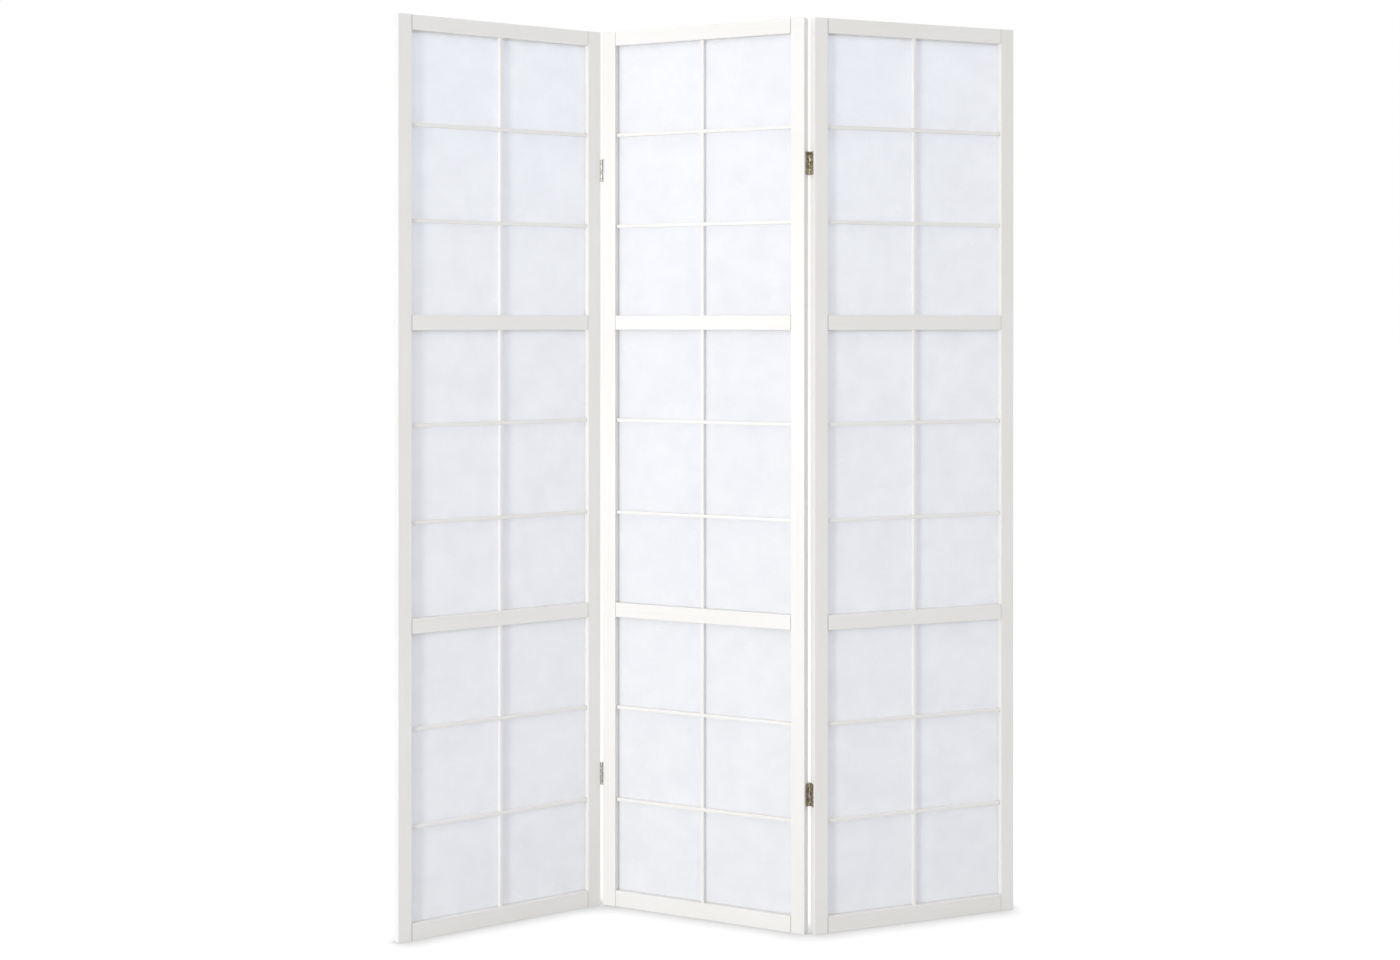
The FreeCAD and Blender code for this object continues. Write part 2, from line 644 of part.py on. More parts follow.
# the screen is centred over the origin: its reach is that of the rounded corners of the panels
edge = value("edge_round")
corner_centres = [
    place.multVec(Vector(x, y, 0))
    for place in panel_places.values()
    for x in (edge, width - edge)
    for y in (edge, depth - edge)
]
middle_x = (max(c.x for c in corner_centres) + min(c.x for c in corner_centres)) / 2
middle_y = (max(c.y for c in corner_centres) + min(c.y for c in corner_centres)) / 2
centred = shift(-middle_x, -middle_y)
panel_places = {name: centred * place for name, place in panel_places.items()}

# ---------------------------------------------------------------------------------------------------
# The three panels
# ---------------------------------------------------------------------------------------------------

HINGED_STILES = {
    ("left_panel", "right"): "front",
    ("middle_panel", "left"): "front",
    ("middle_panel", "right"): "back",
    ("right_panel", "left"): "back",
}

dowel = make_dowel()
for panel, place in panel_places.items():
    for side in ("left", "right"):
        hinge_face = HINGED_STILES.get((panel, side))
        keep(make_stile(panel, side, hinge_face), "%s_%s_stile" % (panel, side), place)
    for name, rail in RAILS.items():
        keep(make_rail(panel, name, rail), "%s_%s" % (panel, name), place)
    for bay_name, bay in BAYS.items():
        keep(make_upright(panel, bay_name, bay), "%s_%s_upright" % (panel, bay_name), place)
        paper, corner = make_paper(panel, bay_name, bay)
        keep(paper, "%s_%s_paper" % (panel, bay_name), place * shift(*corner))
    heights = [value(crossbar_low(bay, index)) for bay in BAYS.values() for index in range(CROSSBARS)]
    crossbars = copies(panel + "_crossbars", make_crossbar(panel), [shift(0, 0, z) for z in heights])
    keep(crossbars, panel + "_crossbars", place)
    keep(make_beads(panel), panel + "_paper_beads", place)
    dowel_places = [
        shift(value(joint), value("dowel_setback"), value(height))
        for rail in RAILS.values()
        for height in dowel_heights(rail)
        for joint in (OPENING.low, end(OPENING))
    ]
    keep(copies(panel + "_dowels", dowel, dowel_places), panel + "_dowels", place)

# ---------------------------------------------------------------------------------------------------
# The four hinges
# ---------------------------------------------------------------------------------------------------

# A leaf is modelled with its wood side towards -X and its strip along +Y, as the left panel's leaves
# lie.  Half a turn about one of the axes brings it to each of the other three edges.
LEAF_TURNS = {
    ("left_panel", "front"): Rotation(),
    ("middle_panel", "front"): Rotation(Y_AXIS, 180),
    ("middle_panel", "back"): Rotation(X_AXIS, 180),
    ("right_panel", "back"): Rotation(Z_AXIS, 180),
}
OUTER_KNUCKLES = range(0, KNUCKLES, 2)      # the middle panel's leaf keeps these, and holds the pin
INNER_KNUCKLES = range(1, KNUCKLES, 2)

pin = make_pin()
screw = make_screw()
screw_head = value("leaf_thickness - %s" % KNUCKLE_RADIUS)
screws = {panel: [] for panel in panel_places}
for face, axes, side_panel in (("front", FRONT_AXIS, "left_panel"), ("back", BACK_AXIS, "right_panel")):
    for level, height in HINGE_HEIGHTS.items():
        hinge_name = "%s_fold_%s_hinge" % (side_panel.split("_")[0], level)
        for panel, kept in (("middle_panel", OUTER_KNUCKLES), (side_panel, INNER_KNUCKLES)):
            x, y = axes[panel]
            seat = Placement(Vector(x, y, value(height)), LEAF_TURNS[panel, face])
            label = "%s_%s_leaf" % (hinge_name, "middle" if panel == "middle_panel" else "side")
            keep(make_leaf(label, kept), label, panel_places[panel] * seat)
            for row, rise in screw_places():
                screws[panel].append(seat * shift(screw_head, value(row), value(rise)))
            if panel == "middle_panel":
                keep(copies(hinge_name + "_pin", pin, [seat]), hinge_name + "_pin", panel_places[panel])
for panel, places in screws.items():
    keep(copies(panel + "_hinge_screws", screw, places), panel + "_hinge_screws", panel_places[panel])

# ---------------------------------------------------------------------------------------------------
# Checks and files
# ---------------------------------------------------------------------------------------------------

doc.recompute()
for item in doc.Objects:
    if "Invalid" in item.State or "Error" in item.State:
        raise RuntimeError("%s failed: %s" % (item.Label, item.State))
for node in nodes:
    if node.Shape.isNull() or not node.Shape.isValid():
        raise RuntimeError("%s has no valid shape" % node.Label)

os.makedirs("parts", exist_ok=True)
for node in nodes:
    node.Shape.exportStep("parts/%s.step" % node.Label)

whole = FreeCAD.BoundBox()
for node in nodes:
    whole.add(node.Shape.BoundBox)
print("%d nodes, %.1f x %.1f x %.1f mm" % (len(nodes), whole.XLength, whole.YLength, whole.ZLength))
for name, place in panel_places.items():
    base, yaw = place.Base, place.Rotation.toEuler()[0]
    print("%s: corner at %.3f, %.3f, turned %.2f degrees" % (name, base.x, base.y, yaw))
for name, axes in (("left fold", FRONT_AXIS), ("right fold", BACK_AXIS)):
    point = panel_places["middle_panel"].multVec(Vector(*axes["middle_panel"], 0))
    print("%s: axis at %.3f, %.3f" % (name, point.x, point.y))
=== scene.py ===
# %% [markdown]
# # A white folding screen, finished in Blender
#
# The screen has three panels of painted wood with a lattice of thin bars, paper behind the lattice, and small
# brass hinges.  Its construction is already modelled, so this lesson loads that model as a fixed frame and
# gives it its looks: paint, paper, patina, and the small forms that a construction model leaves plain.
# The scene is in metres, with Z up.  Sizes of wood and metal are written in millimetres, times MM.

# %% Load the frame
import math

import bmesh
import bpy
from mathutils import Matrix, Vector


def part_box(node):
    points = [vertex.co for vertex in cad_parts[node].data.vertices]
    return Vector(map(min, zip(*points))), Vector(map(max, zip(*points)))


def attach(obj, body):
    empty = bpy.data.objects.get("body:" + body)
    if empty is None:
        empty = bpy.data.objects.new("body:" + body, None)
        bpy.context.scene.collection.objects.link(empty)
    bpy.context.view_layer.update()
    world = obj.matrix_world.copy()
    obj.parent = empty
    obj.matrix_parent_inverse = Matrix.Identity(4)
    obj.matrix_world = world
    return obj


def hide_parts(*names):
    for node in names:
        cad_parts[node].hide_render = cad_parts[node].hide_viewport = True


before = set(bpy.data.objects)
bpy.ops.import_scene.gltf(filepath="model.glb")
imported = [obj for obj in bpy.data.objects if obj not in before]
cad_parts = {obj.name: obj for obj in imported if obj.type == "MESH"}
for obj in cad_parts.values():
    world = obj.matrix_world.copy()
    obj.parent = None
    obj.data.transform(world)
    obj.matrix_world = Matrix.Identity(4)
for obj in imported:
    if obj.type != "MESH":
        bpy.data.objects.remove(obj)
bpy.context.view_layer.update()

MM = 0.001
QUARTER = math.radians(90)
ZERO = (0, 0, 0)

# %% [markdown]
# ## Where the panels stand
#
# Each panel is a flat thing that stands at an angle, so it's easiest to think in the panel's own frame: X
# across from its left edge, Y from its front face to its back, Z up.  A matrix takes that frame into the
# scene.  The same corner and angle also turn the patterns of the materials, so that the grain of a rail runs
# along the rail and not along the room.

# %% Panel frames
PANELS = {
    # panel: (x and y of its front left corner on the floor, in millimetres, and its turn about Z in degrees)
    "left_panel": (-600.853, -124.888, 31.7),
    "middle_panel": (-221.753, 106.622, -24.4),
    "right_panel": (198.868, -75.840, 20.4),
}


def panel_matrix(panel):
    x, y, turn = PANELS[panel]
    return Matrix.Translation((x * MM, y * MM, 0)) @ Matrix.Rotation(math.radians(turn), 4, "Z")


for panel in PANELS:
    foot = panel_matrix(panel).inverted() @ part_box(panel + "_bottom_rail")[0]
    print(panel, "turned", PANELS[panel][2], "degrees, rail starts", round(foot.z / MM, 2), "mm up")

# %% [markdown]
# These are the sizes of a panel that the new pieces need, in millimetres, as the construction model has them.

# %% Sizes
PANEL_WIDTH, PANEL_DEPTH, PANEL_HEIGHT, STILE = 440.0, 20.0, 1780.0, 28.5
BAYS = {"upper": (1202.0, 549.0), "middle": (618.0, 555.0), "lower": (32.0, 557.0)}     # low edge and height
OPENING = PANEL_WIDTH - 2 * STILE
BAR, BAR_DEPTH, BAR_FRONT, STUB = 7.0, 9.0, 5.0, 4.0
CROSSBARS = 2
RAILS = ("top_rail", "upper_mid_rail", "lower_mid_rail", "bottom_rail")
STILES = ("left_stile", "right_stile")


def metres(*lengths):
    return tuple(length * MM for length in lengths)


print("each opening is", OPENING, "mm wide")

# %% [markdown]
# ## New pieces
#
# A new piece stands in for one or more nodes of the construction model, which are hidden, and it moves with the
# same panel.  Smooth shading makes a narrow round read as a round.  Two things keep the rest of the piece
# right:
# sharp corners stay sharp, and where a round runs out into a broad face, the broad face decides the direction
# of the surface, so that it still looks flat.

# %% Helpers for pieces
SHARP = math.radians(40)        # edges sharper than this stay sharp when the rest is shaded smooth
FLAT = math.radians(0.5)        # faces that meet at less than this are one face
SAME_PLACE = 1e-6               # points nearer than this are one point


def new_object(name, data):
    made = bpy.data.objects.new(name, data)
    bpy.context.scene.collection.objects.link(made)
    return made


def evaluated_mesh(thing):
    """The mesh of an object with its modifiers worked in."""
    return bpy.data.meshes.new_from_object(thing.evaluated_get(bpy.context.evaluated_depsgraph_get()))


def new_piece(name, mesh):
    mesh.shade_smooth()
    mesh.set_sharp_from_angle(angle=SHARP)
    piece = new_object(name, mesh)
    even = piece.modifiers.new("broad_faces_decide", "WEIGHTED_NORMAL")
    even.weight, even.keep_sharp = 100, True
    piece.data = evaluated_mesh(piece)
    piece.modifiers.clear()
    piece.data.name = name
    return piece


def stand_for(piece, panel, slot, *nodes):
    """The piece rides with its panel, and takes the place of construction nodes."""
    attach(piece, panel)
    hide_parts(*nodes)


def wear_material(piece, material):
    piece.data.materials.clear()
    piece.data.materials.append(material)


def report(piece):
    """Says how large a piece's mesh is, and how many of its edges don't close it."""
    shape = bmesh.new()
    shape.from_mesh(piece.data)
    count = sum(not edge.is_manifold for edge in shape.edges)
    shape.free()
    print(piece.name, "has", len(piece.data.polygons), "faces and", count, "open edges")


def eased_copy(name, node, width, wanted=lambda edge: True):
    """A copy of a construction node whose sharp edges, or the wanted ones of them, are broken."""
    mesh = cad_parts[node].data.copy()
    shape = bmesh.new()
    shape.from_mesh(mesh)
    bmesh.ops.remove_doubles(shape, verts=shape.verts, dist=SAME_PLACE)
    bmesh.ops.dissolve_limit(shape, angle_limit=FLAT, verts=shape.verts, edges=shape.edges)
    sharp = [edge for edge in shape.edges if edge.calc_face_angle(0) > SHARP and wanted(edge)]
    bmesh.ops.bevel(shape, geom=sharp, offset=width * MM, offset_type="OFFSET", segments=2, profile=0.5,
                    affect="EDGES", clamp_overlap=True)
    shape.to_mesh(mesh)
    shape.free()
    return new_piece(name, mesh)


print("pieces can be made, for edges up to", round(math.degrees(SHARP)), "degrees smooth")

# %% [markdown]
# ## Wiring nodes in few words
#
# A node tree reads best when each line says what a node is and what goes into it.  These helpers add a node,
# set its properties, and fill its inputs.  A socket is linked and anything else is typed in as a value.

# %% Helpers for node trees
def fill(tree, node, inputs):
    for place, given in inputs.items():
        if isinstance(given, bpy.types.NodeSocket):
            tree.links.new(given, node.inputs[place])
        else:
            node.inputs[place].default_value = given


def put(tree, kind, inputs=None, **settings):
    node = tree.nodes.new(kind)
    for name, setting in settings.items():
        setattr(node, name, setting)
    fill(tree, node, inputs or {})
    return node


def out_of(tree, kind, inputs=None, **settings):
    """The first output of a new node, which for most nodes is the only one that matters."""
    return put(tree, kind, inputs, **settings).outputs[0]


def new_tree(name, kind, inputs, outputs):
    """A node group with named sockets, the sockets that it is given, and those that it gives out."""
    tree = bpy.data.node_groups.new(name, kind)
    for socket, (socket_kind, default) in inputs.items():
        made = tree.interface.new_socket(socket, in_out="INPUT", socket_type="NodeSocket" + socket_kind)
        if default is not None:
            made.default_value = default
    for socket, socket_kind in outputs.items():
        tree.interface.new_socket(socket, in_out="OUTPUT", socket_type="NodeSocket" + socket_kind)
    return tree, tree.nodes.new("NodeGroupInput").outputs, tree.nodes.new("NodeGroupOutput").inputs


def give(tree, out, results):
    for name, socket in results.items():
        tree.links.new(socket, out[name])


def math_node(tree, operation, first, second=0.0):
    return out_of(tree, "ShaderNodeMath", {0: first, 1: second}, operation=operation)


def times(tree, first, second):
    return math_node(tree, "MULTIPLY", first, second)


def plus(tree, first, second):
    return math_node(tree, "ADD", first, second)


def distance(tree, first, second):
    return math_node(tree, "ABSOLUTE", math_node(tree, "SUBTRACT", first, second))


def vector(tree, **parts):
    """A vector from its parts X, Y and Z."""
    return out_of(tree, "ShaderNodeCombineXYZ", parts)


def stretch(tree, place, scales):
    """A place whose three directions are scaled, so that a noise read there is drawn out."""
    return out_of(tree, "ShaderNodeVectorMath", {0: place, 1: scales}, operation="MULTIPLY")


def noise(tree, place, scale, detail=2.0, roughness=0.5):
    inputs = {"Vector": place, "Scale": scale, "Detail": detail, "Roughness": roughness}
    return put(tree, "ShaderNodeTexNoise", inputs).outputs["Fac"]


def drawn_out_noise(tree, place, scales, detail=2.0, roughness=0.5):
    return noise(tree, stretch(tree, place, scales), 1.0, detail, roughness)


def band(tree, value, low, high, to_low=0.0, to_high=1.0):
    """The part of a value between low and high, as a mask or as a value between two others."""
    inputs = {"Value": value, "From Min": low, "From Max": high, "To Min": to_low, "To Max": to_high}
    return put(tree, "ShaderNodeMapRange", inputs).outputs["Result"]


COLOUR_A, COLOUR_B, COLOUR_RESULT = 6, 7, 2      # the Mix node's sockets for colours share their names


def mix_colours(tree, mask, first, second):
    inputs = {"Factor": mask, COLOUR_A: first, COLOUR_B: second}
    return put(tree, "ShaderNodeMix", inputs, data_type="RGBA").outputs[COLOUR_RESULT]


def srgb(red, green, blue):
    """A colour as it is read off a screen, 0 to 255, as the linear values that a socket holds."""
    def linear(level):
        level /= 255
        return level / 12.92 if level <= 0.04045 else ((level + 0.055) / 1.055) ** 2.4
    return (linear(red), linear(green), linear(blue), 1.0)


print("a grey of 128 on a screen is", round(srgb(128, 128, 128)[0], 3), "in a socket")

# %% [markdown]
# ## Softened edges
#
# Paint pulls back from a sharp edge, and hands rub it there, so an edge is a touch warmer and smoother than
# the face beside it.  The Bevel node tells where the edges are: it gives the normal that a rounded edge
# would have, and wherever that differs from the true normal, an edge is near.  It works on any mesh, with no
# vertex data, so one small group serves the paint and the metal alike.

# %% Shared group: edges
ON_A_FACE, ON_AN_EDGE = 0.995, 0.80      # how alike the two normals are
edges_tree, given, out = new_tree(
    "near_edges", "ShaderNodeTree", {"Radius": ("Float", 0.001)}, {"Edge": "Float"})
rounded = out_of(edges_tree, "ShaderNodeBevel", {"Radius": given["Radius"]}, samples=6)
true_normal = put(edges_tree, "ShaderNodeNewGeometry").outputs["True Normal"]
alike = put(edges_tree, "ShaderNodeVectorMath", {0: rounded, 1: true_normal},
            operation="DOT_PRODUCT").outputs["Value"]
give(edges_tree, out, {"Edge": band(edges_tree, alike, ON_A_FACE, ON_AN_EDGE)})


def near_edges(tree, radius):
    return out_of(tree, "ShaderNodeGroup", {"Radius": radius * MM}, node_tree=edges_tree)


print("group", edges_tree.name, "gives", [socket.name for socket in out if socket.name])

# %% [markdown]
# ## White paint over wood
#
# The real screen is painted with a satin lacquer that lets the wood be felt more than seen: long shallow
# strokes along the grain, fine pores that the paint bridges, and a faint orange-peel skin.  Three noises at
# three scales make these.  The first two are stretched along Z, so every piece hands in a place whose Z runs
# along its fibres.

# %% Shared group: painted wood
# forms in a metre: across, across and along the fibres, or the same in all directions
STROKES, GRAIN, PORES = (620, 620, 7), (240, 240, 3.2), (2600, 2600, 70)
PEEL, CLOUDS, RUBS = 950.0, 3.5, 55.0
STROKE_HEIGHT, PEEL_HEIGHT, GRAIN_HEIGHT, PORE_DEPTH = 38e-6, 12e-6, 55e-6, 14e-6
RUBBED_REACH = 0.7      # millimetres from an edge
paint_tree, given, out = new_tree(
    "painted_wood", "ShaderNodeTree",
    {"Place": ("Vector", None), "Paint": ("Color", (0.8, 0.8, 0.8, 1)), "Thin": ("Color", (0.7, 0.7, 0.7, 1)),
     "Relief": ("Float", 1.0), "Wear": ("Float", 0.5)},
    {"Colour": "Color", "Roughness": "Float", "Height": "Float"})
place = given["Place"]
strokes = drawn_out_noise(paint_tree, place, STROKES, 3.0, 0.6)
grain = drawn_out_noise(paint_tree, place, GRAIN, 2.0, 0.55)
pores = band(paint_tree, drawn_out_noise(paint_tree, place, PORES, 1.0), 0.62, 0.74)
peel = noise(paint_tree, place, PEEL, 1.0)
cloud = noise(paint_tree, place, CLOUDS, 2.0)

worn = times(paint_tree, near_edges(paint_tree, RUBBED_REACH), given["Wear"])
rubbed = times(paint_tree, worn, band(paint_tree, noise(paint_tree, place, RUBS, 3.0), 0.35, 0.7))
tone = plus(paint_tree, band(paint_tree, cloud, 0.35, 0.65, 0.0, 0.22),
            band(paint_tree, grain, 0.35, 0.75, 0.0, 0.20))
thinner = plus(paint_tree, tone, times(paint_tree, pores, 0.22))
thin = math_node(paint_tree, "MAXIMUM", thinner, rubbed)

raised = plus(paint_tree, band(paint_tree, strokes, 0.0, 1.0, 0.0, STROKE_HEIGHT),
              band(paint_tree, peel, 0.0, 1.0, 0.0, PEEL_HEIGHT))
raised = plus(paint_tree, raised, band(paint_tree, grain, 0.0, 1.0, 0.0, GRAIN_HEIGHT))
raised = math_node(paint_tree, "SUBTRACT", raised, times(paint_tree, pores, PORE_DEPTH))
give(paint_tree, out, {
    "Colour": mix_colours(paint_tree, thin, given["Paint"], given["Thin"]),
    "Roughness": plus(paint_tree, band(paint_tree, strokes, 0.3, 0.7, 0.36, 0.50),
                      times(paint_tree, rubbed, -0.12)),
    "Height": times(paint_tree, raised, given["Relief"])})
print("group", paint_tree.name, "has", len(paint_tree.nodes), "nodes")

# %% [markdown]
# A material takes the group and adds what the group can't hold: the Principled shader, the Bump node, and the
# Mapping that turns the object's coordinates into the panel's.  A Mapping of the Texture kind undoes a move
# and a turn, so it takes the panel's own corner and angle.  One more quarter turn lays the grain level.

# %% Materials: paint
APART = 7.3         # metres from one panel's stretch of the pattern to the next one's


def short(panel):
    return panel.replace("_panel", "")


def new_material(name):
    material = bpy.data.materials.new(name)
    material.use_nodes = True
    tree = material.node_tree
    tree.nodes.clear()
    shader = put(tree, "ShaderNodeBsdfPrincipled")
    surface = put(tree, "ShaderNodeOutputMaterial", {"Surface": shader.outputs[0]})
    return material, tree, shader, surface


def panel_place(tree, panel, level=False):
    """Object coordinates in a panel's own frame.  Each panel reads its own stretch of the pattern."""
    x, y, turn = PANELS[panel]
    apart = APART * list(PANELS).index(panel)
    return out_of(tree, "ShaderNodeMapping", {
        "Vector": put(tree, "ShaderNodeTexCoord").outputs["Object"],
        "Location": (x * MM, y * MM, -apart),
        "Rotation": (0.0, QUARTER if level else 0.0, math.radians(turn)),
    }, vector_type="TEXTURE")


def bumped(tree, height, strength=1.0):
    return out_of(tree, "ShaderNodeBump", {"Strength": strength, "Distance": 1.0, "Height": height})


WHITE_PAINT = srgb(238, 237, 235)
THIN_PAINT = srgb(227, 223, 217)
# painted shade: a dark line where a level piece meets a stile, for the shade in the gap of the joint
JOINT_SHADE = srgb(96, 91, 84)
JOINT_SHADE_FULL, JOINT_SHADE_GONE, JOINT_SHADE_SHARE = 0.25 * MM, 0.7 * MM, 0.85      # two distances from the joint, and a share
COATS = {"frame": ("satin_paint", 1.0, 0.55), "bars": ("bar_paint", 0.6, 0.75)}      # name, relief and wear
PAINT_SHEEN = 0.35


def painted_joint_shade(tree, panel, colour):
    """The colour, with painted shade in a fine line where a level piece meets a stile: the shade of the gap at
    the joint.
    """
    across = put(tree, "ShaderNodeSeparateXYZ", {"Vector": panel_place(tree, panel)}).outputs["X"]
    from_joint = distance(tree, distance(tree, across, PANEL_WIDTH / 2 * MM), OPENING / 2 * MM)
    joint_shade = band(tree, from_joint, JOINT_SHADE_FULL, JOINT_SHADE_GONE, JOINT_SHADE_SHARE, 0.0)
    return mix_colours(tree, joint_shade, colour, JOINT_SHADE)


def painted(name, panel, level, relief, wear):
    material, tree, shader, _ = new_material(name)
    coat = put(tree, "ShaderNodeGroup", {
        "Place": panel_place(tree, panel, level), "Paint": WHITE_PAINT, "Thin": THIN_PAINT,
        "Relief": relief, "Wear": wear}, node_tree=paint_tree).outputs
    fill(tree, shader, {
        "Base Color": painted_joint_shade(tree, panel, coat["Colour"]) if level else coat["Colour"],
        "Roughness": coat["Roughness"], "Normal": bumped(tree, coat["Height"]),
        "Specular IOR Level": PAINT_SHEEN})
    return material


paints = {}
for panel in PANELS:
    for way, level in (("upright", False), ("level", True)):
        for use, (coat, relief, wear) in COATS.items():
            name = "%s_%s_%s" % (coat, short(panel), way)
            paints[panel, use, way] = painted(name, panel, level, relief, wear)
print(len(paints), "paints")

# %% [markdown]
# The long edges of the stiles and rails are rounded already.  Their ends aren't, and a joiner would break those
# edges too before assembly.  Where a rail's end meets a stile, the two broken edges leave a fine line that
# shows the joint.  The rims of the dowel holes in the ends stay as they are.

# %% Break the edges at the ends of stiles and rails
END_EASE = 0.5
NEAR = 0.05         # an edge this near to a face lies in it


def at_rail_end(panel):
    into_panel = panel_matrix(panel).inverted()

    def wanted(edge):
        ends = [(into_panel @ vertex.co) / MM for vertex in edge.verts]
        in_end_face = all(abs(abs(end.x - PANEL_WIDTH / 2) - OPENING / 2) < NEAR for end in ends)
        in_front_or_back = all(end.y < NEAR or end.y > PANEL_DEPTH - NEAR for end in ends)
        return in_end_face and in_front_or_back
    return wanted


def at_stile_end(edge):
    heights = [vertex.co.z / MM for vertex in edge.verts]
    return all(min(height, PANEL_HEIGHT - height) < NEAR for height in heights)


for panel in PANELS:
    for names, wanted, way in ((STILES, at_stile_end, "upright"), (RAILS, at_rail_end(panel), "level")):
        for name in names:
            node = "%s_%s" % (panel, name)
            member = eased_copy(node + "_eased", node, END_EASE, wanted)
            wear_material(member, paints[panel, "frame", way])
            stand_for(member, panel, "frame_paint", node)
        report(member)

# %% [markdown]
# ## Strips of wood, from Geometry Nodes
#
# The lattice bars and the beads behind the paper are all the same thing: a thin strip with softened edges,
# repeated at a step.  So one small tree makes any row of strips.  A rounded rectangle is swept along a line,
# and the strip is set on the points of a second line.  The construction model has these strips too, but with
# plain bevels.  Swept ones have the round edges that sandpaper leaves.

# %% Tree: a row of strips
CORNER_POINTS = 3
strips_tree, given, out = new_tree("row_of_strips", "GeometryNodeTree", {
    "First": ("Vector", ZERO), "Step": ("Vector", ZERO), "Count": ("Int", 1), "Turn": ("Vector", ZERO),
    "Length": ("Float", 0.4), "Height": ("Float", 0.007), "Depth": ("Float", 0.009), "Ease": ("Float", 0.001),
}, {"Strips": "Geometry"})
line = out_of(strips_tree, "GeometryNodeCurvePrimitiveLine", {"End": vector(strips_tree, X=given["Length"])})
section = out_of(strips_tree, "GeometryNodeCurvePrimitiveQuadrilateral",
                 {"Width": given["Depth"], "Height": given["Height"]})
section = out_of(strips_tree, "GeometryNodeFilletCurve",
                 {"Curve": section, "Radius": given["Ease"], "Count": CORNER_POINTS}, mode="POLY")
strip = out_of(strips_tree, "GeometryNodeCurveToMesh",
               {"Curve": line, "Profile Curve": section, "Fill Caps": True})
row = out_of(strips_tree, "GeometryNodeMeshLine",
             {"Count": given["Count"], "Start Location": given["First"], "Offset": given["Step"]})
turned = out_of(strips_tree, "FunctionNodeEulerToRotation", {"Euler": given["Turn"]})
placed = out_of(strips_tree, "GeometryNodeInstanceOnPoints",
                {"Points": row, "Instance": strip, "Rotation": turned})
give(strips_tree, out, {"Strips": out_of(strips_tree, "GeometryNodeRealizeInstances", {"Geometry": placed})})
print("tree", strips_tree.name, "has", len(strips_tree.nodes), "nodes")

# %% [markdown]
# Where a crossbar meets an upright, each gives up half of its depth, so that both lie in one plane: a half
# lap.  The second tree cuts such notches with a row of boxes.  Both trees pass on the geometry that comes in
# and add to it, so that modifiers can be stacked, one for each bay.

# %% Trees: lattice bars and beads
STRIP_INPUTS = {item.name: (item.socket_type.replace("NodeSocket", ""), item.default_value)
                for item in strips_tree.interface.items_tree if item.in_out == "INPUT"}
AROUND = {"Before": ("Geometry", None), "Material": ("Material", None)}


def strips_inside(tree, given):
    """The row of strips, inside another tree that has the same inputs."""
    inputs = {name: given[name] for name in STRIP_INPUTS}
    return out_of(tree, "GeometryNodeGroup", inputs, node_tree=strips_tree)


def join(tree, *parts):
    joined = tree.nodes.new("GeometryNodeJoinGeometry")
    for part in parts:
        tree.links.new(part, joined.inputs[0])
    return joined.outputs[0]


def finish_tree(tree, given, out, made):
    """Gives what was made its material, and adds it to what came in."""
    coloured = out_of(tree, "GeometryNodeSetMaterial", {"Geometry": made, "Material": given["Material"]})
    give(tree, out, {"Geometry": join(tree, given["Before"], coloured)})
    print("tree", tree.name, "has", len(tree.nodes), "nodes")


beads_tree, given, out = new_tree(
    "beads", "GeometryNodeTree", {**AROUND, **STRIP_INPUTS}, {"Geometry": "Geometry"})
finish_tree(beads_tree, given, out, strips_inside(beads_tree, given))

bars_tree, given, out = new_tree("lattice_bars", "GeometryNodeTree", {
    **AROUND, **STRIP_INPUTS, "First notch": ("Vector", ZERO), "Notch step": ("Vector", ZERO),
    "Notches": ("Int", 1), "Notch size": ("Vector", (0.01, 0.01, 0.01)),
}, {"Geometry": "Geometry"})
notch = out_of(bars_tree, "GeometryNodeMeshCube", {"Size": given["Notch size"]})
row = out_of(bars_tree, "GeometryNodeMeshLine", {
    "Count": given["Notches"], "Start Location": given["First notch"], "Offset": given["Notch step"]})
notches = out_of(bars_tree, "GeometryNodeInstanceOnPoints", {"Points": row, "Instance": notch})
notches = out_of(bars_tree, "GeometryNodeRealizeInstances", {"Geometry": notches})
cut = out_of(bars_tree, "GeometryNodeMeshBoolean",
             {"Mesh 1": strips_inside(bars_tree, given), "Mesh 2": notches}, operation="DIFFERENCE")
finish_tree(bars_tree, given, out, cut)

# %% [markdown]
# A tree only describes geometry.  This helper stacks the modifiers on an empty mesh, hands each its values by
# the identifiers of its inputs, and turns the outcome into a plain mesh in the panel's place.

# %% From a tree to a piece
def grow(name, panel, tree, layers):
    """A piece of a panel, from a stack of modifiers with a layer of values for each."""
    seed = new_object(name + "_seed", bpy.data.meshes.new(name))
    sockets = {item.name: item.identifier for item in tree.interface.items_tree if item.in_out == "INPUT"}
    for layer in layers:
        modifier = seed.modifiers.new(tree.name, "NODES")
        modifier.node_group = tree
        for socket, number in layer.items():
            modifier[sockets[socket]] = number
    mesh = evaluated_mesh(seed)
    bpy.data.objects.remove(seed)
    mesh.transform(panel_matrix(panel))
    return new_piece(name, mesh)


print("pieces can be grown")

# %% Make the lattice
BAR_ROUND = 0.9
HALF_LAP = BAR_FRONT + BAR_DEPTH / 2
PAST = 1.0          # how far a notch's box reaches past the bar
UPRIGHT = (0.0, -QUARTER, 0.0)


def bar_sizes(length):
    return {"Length": length * MM, "Height": BAR * MM, "Depth": BAR_DEPTH * MM, "Ease": BAR_ROUND * MM}


def crossbar_heights(low, high):
    """The height of the lowest crossbar of a bay, and the step to the next one."""
    pane = (high - CROSSBARS * BAR) / (CROSSBARS + 1)
    return low + pane + BAR / 2, pane + BAR


